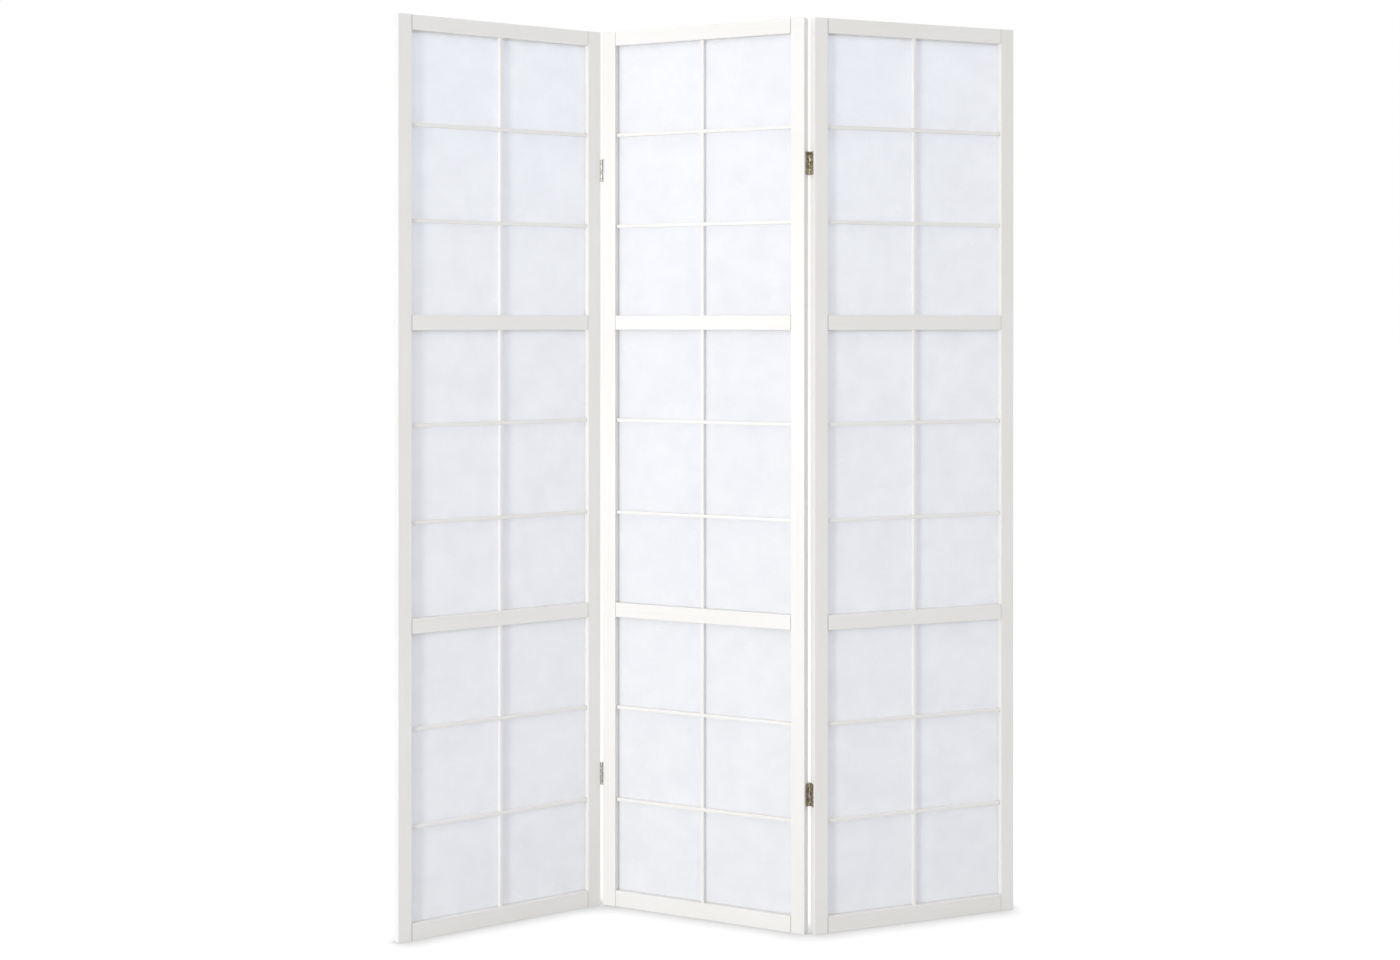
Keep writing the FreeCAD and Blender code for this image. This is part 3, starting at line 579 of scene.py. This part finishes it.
for panel in PANELS:
    layers = []
    for bay, (low, high) in BAYS.items():
        first, step = crossbar_heights(low, high)
        layers.append({
            **bar_sizes(OPENING + 2 * STUB), "Material": paints[panel, "bars", "level"], "Count": CROSSBARS,
            "First": metres(STILE - STUB, HALF_LAP, first), "Step": metres(0, 0, step), "Notches": 1,
            "First notch": metres(PANEL_WIDTH / 2, HALF_LAP + BAR_DEPTH / 2, low + high / 2),
            "Notch size": metres(BAR, BAR_DEPTH, high)})
        upright = {
            **bar_sizes(high + 2 * STUB), "Material": paints[panel, "bars", "upright"], "Count": 1,
            "First": metres(PANEL_WIDTH / 2, HALF_LAP, low - STUB), "Turn": UPRIGHT, "Notches": CROSSBARS,
            "First notch": metres(PANEL_WIDTH / 2, HALF_LAP - BAR_DEPTH / 2, first),
            "Notch step": metres(0, 0, step), "Notch size": metres(BAR + 2 * PAST, BAR_DEPTH, BAR)}
        post = grow("%s_%s_post" % (panel, bay), panel, bars_tree, [upright])
        stand_for(post, panel, "lattice_paint", "%s_%s_upright" % (panel, bay))
    bars = grow(panel + "_slats", panel, bars_tree, layers)
    stand_for(bars, panel, "lattice_paint", panel + "_crossbars")
    report(bars)
    report(post)

# %% [markdown]
# The beads are square strips pressed into the rebate behind the paper.  Four of them frame each bay, the
# level ones the whole way across and the upright ones between them.  They show only from behind.

# %% Make the beads
REBATE, BEAD_FIT, BEAD_FRONT, BEAD_BACK, BEAD_ROUND = 5.5, 0.1, 14.4, 19.7, 1.1
BEAD = REBATE - BEAD_FIT
BEAD_MIDDLE = (BEAD_FRONT + BEAD_BACK) / 2
BEAD_SIZES = {"Height": BEAD * MM, "Depth": (BEAD_BACK - BEAD_FRONT) * MM, "Ease": BEAD_ROUND * MM, "Count": 2}
for panel in PANELS:
    layers = []
    for low, high in BAYS.values():
        layers.append({
            **BEAD_SIZES, "Material": paints[panel, "bars", "level"], "Length": (OPENING + 2 * BEAD) * MM,
            "First": metres(STILE - BEAD, BEAD_MIDDLE, low - BEAD / 2), "Step": metres(0, 0, high + BEAD)})
        layers.append({
            **BEAD_SIZES, "Material": paints[panel, "bars", "upright"], "Length": (high - 2 * BEAD_FIT) * MM,
            "First": metres(STILE - BEAD / 2, BEAD_MIDDLE, low + BEAD_FIT), "Turn": UPRIGHT,
            "Step": metres(OPENING + BEAD, 0, 0)})
    beads = grow(panel + "_beading", panel, beads_tree, layers)
    stand_for(beads, panel, "bead_paint", panel + "_paper_beads")
    report(beads)

# %% [markdown]
# ## Paper
#
# The panes are a white paper with a cool cast, pressed from long fibres and laminated so that it stays flat.
# Thin paper is lit from both sides.  A Principled shader alone would treat it as board, so it's mixed with a
# Translucent shader, which passes on the light that falls on its back.  The fibres come from the places where
# a smooth noise crosses its middle value: such contour lines are long, thin and never straight.

# %% Shared group: paper fibres
PULP = srgb(209, 209, 214)
FIBRE_WIDTHS = {34.0: 0.0075, 71.0: 0.012, 16.0: 0.0035}      # for each scale of noise, a part of its range
FIBRE_HEIGHT, PULP_HEIGHT = 26e-6, 16e-6
ACROSS_THE_SHEET = (1.0, 0.0, 1.0)
paper_tree, given, out = new_tree(
    "paper_fibres", "ShaderNodeTree",
    {"Place": ("Vector", None), "Sheet": ("Color", (0.8, 0.8, 0.9, 1)), "Fibre": ("Color", (0.9, 0.9, 0.9, 1))},
    {"Colour": "Color", "Height": "Float", "Fibres": "Float"})
place = given["Place"]
fibres = None
for scale, width in FIBRE_WIDTHS.items():
    contour = noise(paper_tree, stretch(paper_tree, place, ACROSS_THE_SHEET), scale, 1.5, 0.45)
    line = band(paper_tree, distance(paper_tree, contour, 0.5), 0.0, width, 1.0, 0.0)
    fibres = line if fibres is None else math_node(paper_tree, "MAXIMUM", fibres, line)
patchy = band(paper_tree, noise(paper_tree, place, 9.0, 3.0), 0.40, 0.62)
fibres = times(paper_tree, fibres, band(paper_tree, patchy, 0.0, 1.0, 0.25, 1.0))
pulp = noise(paper_tree, place, 420.0, 3.0, 0.6)
clouds = noise(paper_tree, place, 24.0, 3.0, 0.55)
uneven = plus(paper_tree, band(paper_tree, clouds, 0.3, 0.7, 0.0, 0.10),
              band(paper_tree, pulp, 0.35, 0.7, 0.0, 0.08))
base = mix_colours(paper_tree, uneven, given["Sheet"], PULP)
give(paper_tree, out, {
    "Colour": mix_colours(paper_tree, times(paper_tree, fibres, 0.5), base, given["Fibre"]),
    "Height": plus(paper_tree, times(paper_tree, fibres, FIBRE_HEIGHT),
                   band(paper_tree, pulp, 0.0, 1.0, 0.0, PULP_HEIGHT)),
    "Fibres": fibres})

PAPER = srgb(248, 248, 249)
FIBRE = srgb(252, 252, 253)
THROUGH = 0.52      # the share of the light that goes through a face of the sheet
PAPER_ROUGH, FIBRE_ROUGH, PAPER_RELIEF, PAPER_SHEEN = 0.86, 0.72, 0.7, 0.25


def paper(name, panel):
    material, tree, shader, surface = new_material(name)
    sheet = put(tree, "ShaderNodeGroup", {
        "Place": panel_place(tree, panel), "Sheet": PAPER, "Fibre": FIBRE}, node_tree=paper_tree).outputs
    normal = bumped(tree, sheet["Height"], PAPER_RELIEF)
    fill(tree, shader, {
        "Base Color": sheet["Colour"], "Normal": normal, "Specular IOR Level": PAPER_SHEEN,
        "Roughness": band(tree, sheet["Fibres"], 0.0, 1.0, PAPER_ROUGH, FIBRE_ROUGH)})
    through = out_of(tree, "ShaderNodeBsdfTranslucent", {"Color": sheet["Colour"], "Normal": normal})
    both = out_of(tree, "ShaderNodeMixShader", {0: THROUGH, 1: shader.outputs[0], 2: through})
    fill(tree, surface, {"Surface": both})
    return material


papers = {panel: paper("paper_" + short(panel), panel) for panel in PANELS}
print("paper lets through", THROUGH, "of the light at each face")

# %% [markdown]
# Paper that is glued to a lattice never lies quite flat: it cockles a little between the bars.  The sheet is a
# grid whose points are pushed by a slow noise, less and less towards each bar, where the glue holds it.  Two
# sines that vanish at the bars do that.  Then the grid is given its thickness, and a turned copy of the grid
# closes the back.

# %% Tree: a sheet of paper
POINTS_ACROSS, POINTS_UP = 41, 61
sheet_tree, given, out = new_tree("paper_sheet", "GeometryNodeTree", {
    **AROUND, "Corner": ("Vector", ZERO), "Width": ("Float", 0.4), "Height": ("Float", 0.5),
    "Thickness": ("Float", 0.0004), "Cockle": ("Float", 0.0002), "Panes across": ("Float", 2.0),
    "Panes up": ("Float", 3.0), "Seed": ("Float", 0.0),
}, {"Geometry": "Geometry"})
grid = put(sheet_tree, "GeometryNodeMeshGrid", {
    "Size X": given["Width"], "Size Y": given["Height"],
    "Vertices X": POINTS_ACROSS, "Vertices Y": POINTS_UP}).outputs
across = put(sheet_tree, "ShaderNodeSeparateXYZ", {"Vector": grid["UV Map"]}).outputs


def free_between(panes, along):
    wave = times(sheet_tree, times(sheet_tree, along, panes), math.pi)
    return math_node(sheet_tree, "POWER", math_node(sheet_tree, "SINE", wave), 2.0)


free = times(sheet_tree, free_between(given["Panes across"], across["X"]),
             free_between(given["Panes up"], across["Y"]))
swell = put(sheet_tree, "ShaderNodeTexNoise", {"W": given["Seed"], "Scale": 9.0, "Detail": 1.0},
            noise_dimensions="4D").outputs["Fac"]
push = times(sheet_tree, band(sheet_tree, swell, 0.25, 0.75, -1.0, 1.0), given["Cockle"])
push = vector(sheet_tree, Z=times(sheet_tree, push, free))
back = out_of(sheet_tree, "GeometryNodeSetPosition", {"Geometry": grid["Mesh"], "Offset": push})
front = out_of(sheet_tree, "GeometryNodeExtrudeMesh", {
    "Mesh": back, "Offset": vector(sheet_tree, Z=given["Thickness"]), "Individual": False})
both = join(sheet_tree, front, out_of(sheet_tree, "GeometryNodeFlipFaces", {"Mesh": back}))
closed = out_of(sheet_tree, "GeometryNodeMergeByDistance", {"Geometry": both, "Distance": SAME_PLACE})
middle = vector(sheet_tree, X=times(sheet_tree, given["Width"], 0.5), Y=given["Thickness"],
                Z=times(sheet_tree, given["Height"], 0.5))
middle = out_of(sheet_tree, "ShaderNodeVectorMath", {0: given["Corner"], 1: middle}, operation="ADD")
upright = out_of(sheet_tree, "GeometryNodeTransform", {
    "Geometry": closed, "Translation": middle, "Rotation": (QUARTER, 0, 0)})
finish_tree(sheet_tree, given, out, upright)

# %% Make the paper
LAP, PAPER_FRONT, PAPER_THICKNESS, COCKLE = 5.0, 14.0, 0.4, 0.22
BAY_SEED, PANEL_SEED = 3.1, 11.7        # steps that give every sheet a cockle of its own
for panel in PANELS:
    for number, (bay, (low, high)) in enumerate(BAYS.items()):
        layer = {
            "Material": papers[panel], "Corner": metres(STILE - LAP, PAPER_FRONT, low - LAP),
            "Width": (OPENING + 2 * LAP) * MM, "Height": (high + 2 * LAP) * MM,
            "Thickness": PAPER_THICKNESS * MM, "Cockle": COCKLE * MM,
            "Seed": BAY_SEED * number + PANEL_SEED * list(PANELS).index(panel)}
        sheet = grow("%s_%s_sheet" % (panel, bay), panel, sheet_tree, [layer])
        stand_for(sheet, panel, "paper", "%s_%s_paper" % (panel, bay))
    report(sheet)

# %% [markdown]
# ## Antique brass
#
# The hinges are small pressed leaves of pale plated brass that have gone dull in patches, olive grey and
# nearly black, with bright ridges.  One group paints all of it: a cloudy patina over the metal, small dark
# pits, fine scratches, and bare bright metal at the edges.  The left hinges get a lighter copy of the brass,
# which is painted light: it stands for the light that they catch.

# %% Shared group: aged brass
PATINA, PITS, SCRATCHES = 260.0, 1500.0, (5200, 5200, 260)      # forms in a metre
SCRATCH_HEIGHT, PIT_DEPTH = 5e-6, 16e-6
BARE_REACH = 0.5        # millimetres from an edge
brass_tree, given, out = new_tree(
    "aged_brass", "ShaderNodeTree",
    {"Place": ("Vector", None), "Bright": ("Color", (0.6, 0.5, 0.3, 1)),
     "Dark": ("Color", (0.1, 0.08, 0.05, 1)), "Patina": ("Float", 0.6)},
    {"Colour": "Color", "Roughness": "Float", "Metal": "Float", "Height": "Float"})
place = given["Place"]
cloud = noise(brass_tree, place, PATINA, 4.0, 0.62)
pits = band(brass_tree, noise(brass_tree, place, PITS, 2.0), 0.60, 0.70)
scratch = drawn_out_noise(brass_tree, place, SCRATCHES, 2.0)
bare = near_edges(brass_tree, BARE_REACH)
covered = times(brass_tree, band(brass_tree, cloud, 0.42, 0.57), given["Patina"])
covered = math_node(brass_tree, "SUBTRACT", covered, times(brass_tree, bare, 0.55))
covered = out_of(brass_tree, "ShaderNodeClamp", {"Value": covered})
covered = math_node(brass_tree, "MAXIMUM", covered, times(brass_tree, pits, 0.7))
give(brass_tree, out, {
    "Colour": mix_colours(brass_tree, covered, given["Bright"], given["Dark"]),
    "Roughness": plus(brass_tree, band(brass_tree, covered, 0.0, 1.0, 0.26, 0.55),
                      band(brass_tree, scratch, 0.35, 0.65, -0.04, 0.06)),
    "Metal": band(brass_tree, covered, 0.0, 1.0, 1.0, 0.72),
    "Height": math_node(brass_tree, "SUBTRACT", band(brass_tree, scratch, 0.0, 1.0, 0.0, SCRATCH_HEIGHT),
                        times(brass_tree, pits, PIT_DEPTH))})


def brass(name, bright, dark, patina):
    material, tree, shader, _ = new_material(name)
    metal = put(tree, "ShaderNodeGroup", {
        "Place": put(tree, "ShaderNodeTexCoord").outputs["Object"], "Bright": srgb(*bright),
        "Dark": srgb(*dark), "Patina": patina}, node_tree=brass_tree).outputs
    fill(tree, shader, {
        "Base Color": metal["Colour"], "Roughness": metal["Roughness"], "Metallic": metal["Metal"],
        "Normal": bumped(tree, metal["Height"])})
    return material


dull_brass = brass("dull_brass", (238, 234, 216), (84, 79, 66), 0.85)
# painted light: a lighter copy of the same brass for the left fold's hinges, for the light that they catch
brass_lit_copy = brass("brass_lit_copy", (216, 214, 206), (108, 105, 96), 0.7)
pin_brass = brass("rubbed_brass", (230, 226, 212), (104, 99, 84), 0.5)
screw_brass = brass("screw_brass", (230, 224, 202), (62, 58, 46), 0.7)
print("group", brass_tree.name, "has", len(brass_tree.nodes), "nodes and serves four brasses")

# %% [markdown]
# The leaves and pins of the hinges are already right in shape, but stamped metal has no razor edges, so every
# sharp edge of a leaf is broken by a narrow bevel.

# %% Break the edges of the hinges
HINGE_ROUND = 0.14
for fold, side_panel in (("left_fold", "left_panel"), ("right_fold", "right_panel")):
    for level in ("upper", "lower"):
        hinge = "%s_%s_hinge" % (fold, level)
        wear_material(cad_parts[hinge + "_pin"], pin_brass)
        for part, panel in (("middle_leaf", "middle_panel"), ("side_leaf", side_panel)):
            node = "%s_%s" % (hinge, part)
            plate = eased_copy(node.replace("leaf", "plate"), node, HINGE_ROUND)
            # painted light: the left fold's leaves take the lighter copy of the brass
            wear_material(plate, brass_lit_copy if fold == "left_fold" else dull_brass)
            stand_for(plate, panel, "hinge_metal", node)
        report(plate)

# %% [markdown]
# A countersunk screw is a turned piece with a cross pressed into its head.  Its profile is spun about an axis,
# and two tapered bars cut the cross.  A tree then sets three screws on a leaf in the pattern of a real one,
# the middle screw further out, and turns each by chance, as a hand leaves them.  The seed is fixed, so every
# run leaves them alike.

# %% One screw
# height and radius of each point of the profile; height, half length and half width of the ends of an arm
SCREW_PROFILE = ((0.0, 0.0), (0.0, 2.1), (-0.05, 2.3), (-0.16, 2.4), (-1.25, 1.2), (-10.4, 1.2), (-13.0, 0.0))
CROSS_ARM = ((0.4, 1.5, 0.42), (-0.95, 0.62, 0.26))
SPIN_STEPS = 32


def closed_object(name, shape):
    bmesh.ops.recalc_face_normals(shape, faces=shape.faces)
    mesh = bpy.data.meshes.new(name)
    shape.to_mesh(mesh)
    shape.free()
    return new_object(name, mesh)


def turned_screw():
    shape = bmesh.new()
    profile = [shape.verts.new(metres(x, radius, 0)) for x, radius in SCREW_PROFILE]
    edges = [shape.edges.new(pair) for pair in zip(profile, profile[1:])]
    bmesh.ops.spin(shape, geom=profile + edges, axis=(1, 0, 0), cent=ZERO, angle=2 * math.pi,
                   steps=SPIN_STEPS)
    bmesh.ops.remove_doubles(shape, verts=shape.verts, dist=SAME_PLACE)
    return closed_object("screw", shape)


def cross_arm(turn):
    shape = bmesh.new()
    for height, half_length, half_width in CROSS_ARM:
        for along, aside in ((1, 1), (1, -1), (-1, 1), (-1, -1)):
            shape.verts.new(metres(height, along * half_length, aside * half_width))
    bmesh.ops.convex_hull(shape, input=shape.verts)
    arm = closed_object("arm", shape)
    arm.data.transform(Matrix.Rotation(turn, 4, "X"))
    return arm


screw = turned_screw()
arms = [cross_arm(0.0), cross_arm(QUARTER)]
for arm in arms:
    cut = screw.modifiers.new("cross", "BOOLEAN")
    cut.object, cut.operation, cut.solver = arm, "DIFFERENCE", "EXACT"
screw.data = evaluated_mesh(screw)
screw.modifiers.clear()
for arm in arms:
    bpy.data.objects.remove(arm)
report(screw)

# %% Tree: the screws of a leaf
screws_tree, given, out = new_tree("leaf_screws", "GeometryNodeTree", {
    **AROUND, "Screw": ("Object", None), "Seat": ("Vector", ZERO), "Turn": ("Vector", ZERO),
    "Near row": ("Float", 0.0063), "Far row": ("Float", 0.011), "Rise": ("Float", 0.015), "Seed": ("Int", 0),
}, {"Geometry": "Geometry"})
lowest = vector(screws_tree, Y=given["Near row"], Z=times(screws_tree, given["Rise"], -1.0))
upwards = vector(screws_tree, Z=given["Rise"])
points = out_of(screws_tree, "GeometryNodeMeshLine", {"Count": 3, "Start Location": lowest, "Offset": upwards})
in_middle = math_node(screws_tree, "COMPARE", out_of(screws_tree, "GeometryNodeInputIndex"), 1.0)
out_by = math_node(screws_tree, "SUBTRACT", given["Far row"], given["Near row"])
points = out_of(screws_tree, "GeometryNodeSetPosition", {
    "Geometry": points, "Offset": vector(screws_tree, Y=times(screws_tree, in_middle, out_by))})
chance = put(screws_tree, "FunctionNodeRandomValue", {2: 0.0, 3: math.pi, "Seed": given["Seed"]},
             data_type="FLOAT").outputs[1]
spun = out_of(screws_tree, "FunctionNodeEulerToRotation", {"Euler": vector(screws_tree, X=chance)})
one = put(screws_tree, "GeometryNodeObjectInfo", {"Object": given["Screw"]}).outputs["Geometry"]
three = out_of(screws_tree, "GeometryNodeInstanceOnPoints",
               {"Points": points, "Instance": one, "Rotation": spun})
three = out_of(screws_tree, "GeometryNodeRealizeInstances", {"Geometry": three})
turned = out_of(screws_tree, "FunctionNodeEulerToRotation", {"Euler": given["Turn"]})
seated = out_of(screws_tree, "GeometryNodeTransform", {
    "Geometry": three, "Translation": given["Seat"], "Rotation": turned})
finish_tree(screws_tree, given, out, seated)

# %% Make the screws
HEAD_STANDS = -1.55         # from the hinge's axis to the heads of the screws, across the leaf
GAP, OFFSET = 2.0, 1.3      # from the hinge's axis to a panel's edge and to its face
HINGE_HEIGHTS = (1498.0, 268.0)
AT_LEFT, AT_RIGHT = (-GAP, -1.0), (PANEL_WIDTH + GAP, 1.0)     # the axis across, and the way out of the panel
IN_FRONT, BEHIND = -OFFSET, PANEL_DEPTH + OFFSET
SEATS = {
    # panel: for each of its leaves, where its axis is in the panel's frame, and the turn of its screws
    "left_panel": [(*AT_RIGHT, IN_FRONT, (0.0, 0.0, 0.0))],
    "middle_panel": [(*AT_LEFT, IN_FRONT, (0.0, math.pi, 0.0)), (*AT_RIGHT, BEHIND, (math.pi, 0.0, 0.0))],
    "right_panel": [(*AT_LEFT, BEHIND, (0.0, 0.0, math.pi))],
}
for panel, seats in SEATS.items():
    layers = []
    for x, outwards, y, turn in seats:
        for height in HINGE_HEIGHTS:
            layers.append({
                "Material": screw_brass, "Screw": screw, "Turn": turn,
                "Seat": metres(x + outwards * HEAD_STANDS, y, height), "Seed": len(layers) + 5 * len(seats)})
    screws = grow(panel + "_screws", panel, screws_tree, layers)
    stand_for(screws, panel, "screw_metal", panel + "_hinge_screws")
    report(screws)
bpy.data.objects.remove(screw)

# %% [markdown]
# ## Bare wood
#
# The dowels are inside the joints and never show, but a piece that someone may take apart still has its own
# wood: pale beech, with short dark flecks along the grain.

# %% Material: dowels
BEECH, BEECH_LATE, BEECH_FLECK = srgb(216, 184, 142), srgb(188, 150, 106), srgb(136, 96, 62)
FIGURE, FLECKS = (420, 420, 14), (1700, 1700, 160)      # forms in a metre, the last along the grain
BEECH_HEIGHT = 60e-6


def beech(panel):
    material, tree, shader, _ = new_material("beech_" + short(panel))
    place = panel_place(tree, panel, level=True)
    figure = drawn_out_noise(tree, place, FIGURE, 3.0, 0.6)
    flecks = band(tree, drawn_out_noise(tree, place, FLECKS, 1.0), 0.60, 0.72)
    colour = mix_colours(tree, band(tree, figure, 0.3, 0.7), BEECH, BEECH_LATE)
    fill(tree, shader, {
        "Base Color": mix_colours(tree, times(tree, flecks, 0.6), colour, BEECH_FLECK),
        "Roughness": band(tree, figure, 0.3, 0.7, 0.55, 0.72),
        "Normal": bumped(tree, band(tree, figure, 0.0, 1.0, 0.0, BEECH_HEIGHT))})
    return material


for panel in PANELS:
    wear_material(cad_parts[panel + "_dowels"], beech(panel))
print("beech dowels")

# %% [markdown]
# ## Studio
#
# The photograph shows the screen on pure white with a faint shadow at its foot.  The camera stands straight
# in front, level, at about the height of a chest, and its lens is shifted down to take in the feet: that's why
# the uprights stay parallel.  The numbers come from fitting a camera to the picture's corners.
#
# The sensor's height alone sets the angle of view here, and its width doesn't change this picture.  But a tool
# that judges its distance by the width stands about a quarter further back in views from other sides than it
# would at 35 mm, the width of a frame of this shape.  In most of them that keeps the top of the standing
# screen in the frame, which the shift would cut off.  It's a fault still open: 35 mm belongs here.

# %% Camera
FOCAL_PIXELS, PICTURE_HEIGHT = 1789.4, 960.0
SENSOR_HEIGHT, NARROW_WIDTH = 24.0, 28.0
AXIS_ABOVE_MIDDLE = 157.2       # pixels from the middle of the picture up to the lens axis
CAMERA_PLACE = (-0.02353, -3.54576, 1.1872)
camera_data = bpy.data.cameras.new("camera")
camera_data.sensor_fit = "VERTICAL"
camera_data.sensor_height, camera_data.sensor_width = SENSOR_HEIGHT, NARROW_WIDTH
camera_data.lens = SENSOR_HEIGHT * FOCAL_PIXELS / PICTURE_HEIGHT
camera_data.shift_y = -AXIS_ABOVE_MIDDLE / PICTURE_HEIGHT
camera = new_object("camera", camera_data)
camera.location = CAMERA_PLACE
camera.rotation_euler = (QUARTER, 0, 0)
bpy.context.scene.camera = camera
print("lens %.1f mm, %.2f m from the middle of the screen" % (camera_data.lens, -camera.location.y))

# %% [markdown]
# Soft light from the front left makes the middle panel the brightest.  A second soft light, pale blue, behind
# and above comes through the paper.  The world fills the rest, and as under a studio's ceiling it's brighter
# overhead than at the horizon: that lights the tops of the crossbars.  An upright face gets the same light from
# it as from an even world, because the mean height of the sky that it sees is taken off again.
#
# The camera, mirrors and clear things see another world, which is plain white.  The floor too glows white for
# the camera alone, less where something stands near.  So the ground of the picture is white all over but for a
# soft shadow at the feet.

# %% Lights, world and floor
WHITE = (1, 1, 1, 1)


def area_light(name, place, target, size, power, colour):
    data = bpy.data.lights.new(name, "AREA")
    data.shape = "RECTANGLE"
    data.size, data.size_y = size
    data.energy = power
    data.color = colour
    lamp = new_object(name, data)
    lamp.location = place
    lamp.rotation_euler = (Vector(target) - Vector(place)).to_track_quat("-Z", "Y").to_euler()


area_light("key", place=(-4.0, -5.1, 1.15), target=(0, 0, 0.9), size=(1.3, 1.3), power=173.0, colour=(1, 1, 1))
area_light("back", place=(-0.9, 1.9, 3.5), target=(-0.2, 0, 1.8), size=(3.0, 1.0), power=57.0,
           colour=(0.68, 0.81, 1.0))

WORLD_LEVEL, OVERHEAD = 0.734, 0.9
MEAN_HEIGHT = 0.424         # of the sky that an upright face sees, where the zenith is 1
world = bpy.data.worlds.new("studio")
bpy.context.scene.world = world
world.use_nodes = True
tree = world.node_tree
tree.nodes.clear()
rays = put(tree, "ShaderNodeLightPath").outputs
seen = math_node(tree, "MAXIMUM", rays["Is Camera Ray"], rays["Is Glossy Ray"])
seen = math_node(tree, "MAXIMUM", seen, rays["Is Transmission Ray"])
direction = put(tree, "ShaderNodeTexCoord").outputs["Generated"]
height = put(tree, "ShaderNodeSeparateXYZ", {"Vector": direction}).outputs["Z"]
sky = plus(tree, times(tree, height, WORLD_LEVEL * OVERHEAD), WORLD_LEVEL * (1 - MEAN_HEIGHT * OVERHEAD))
lit = out_of(tree, "ShaderNodeBackground", {"Color": WHITE, "Strength": band(tree, seen, 0, 1, sky, 1.0)})
put(tree, "ShaderNodeOutputWorld", {"Surface": lit})

REACH = 30.0
FLOOR_GREYS = (0.655, 0.675)
CONTACT = 0.07              # metres over which a thing that stands on the floor darkens it
CONTACT_GLOW, OPEN_GLOW = 0.62, 1.25
GLOW_SHARE = 0.7
floor_data = bpy.data.meshes.new("floor")
corners = [(-REACH, -REACH, 0), (REACH, -REACH, 0), (REACH, REACH, 0), (-REACH, REACH, 0)]
floor_data.from_pydata(corners, [], [(0, 1, 2, 3)])
floor = new_object("floor", floor_data)
material, tree, shader, surface = new_material("pale_floor")
mottle = noise(tree, put(tree, "ShaderNodeTexCoord").outputs["Object"], 6.0, 3.0)
near = put(tree, "ShaderNodeAmbientOcclusion", {"Distance": CONTACT}, samples=8).outputs["AO"]
greys = [(grey, grey, grey, 1) for grey in FLOOR_GREYS]
fill(tree, shader, {
    "Base Color": mix_colours(tree, mottle, *greys), "Roughness": 0.9, "Specular IOR Level": 0.1})
glow = out_of(tree, "ShaderNodeEmission", {
    "Color": WHITE, "Strength": band(tree, near, 0.45, 1.0, CONTACT_GLOW, OPEN_GLOW)})
by_camera = put(tree, "ShaderNodeLightPath").outputs["Is Camera Ray"]
mixed = out_of(tree, "ShaderNodeMixShader", {
    0: times(tree, by_camera, GLOW_SHARE), 1: shader.outputs[0], 2: glow})
fill(tree, surface, {"Surface": mixed})
wear_material(floor, material)

bpy.context.scene.view_settings.view_transform = "Standard"
print("world at", WORLD_LEVEL)
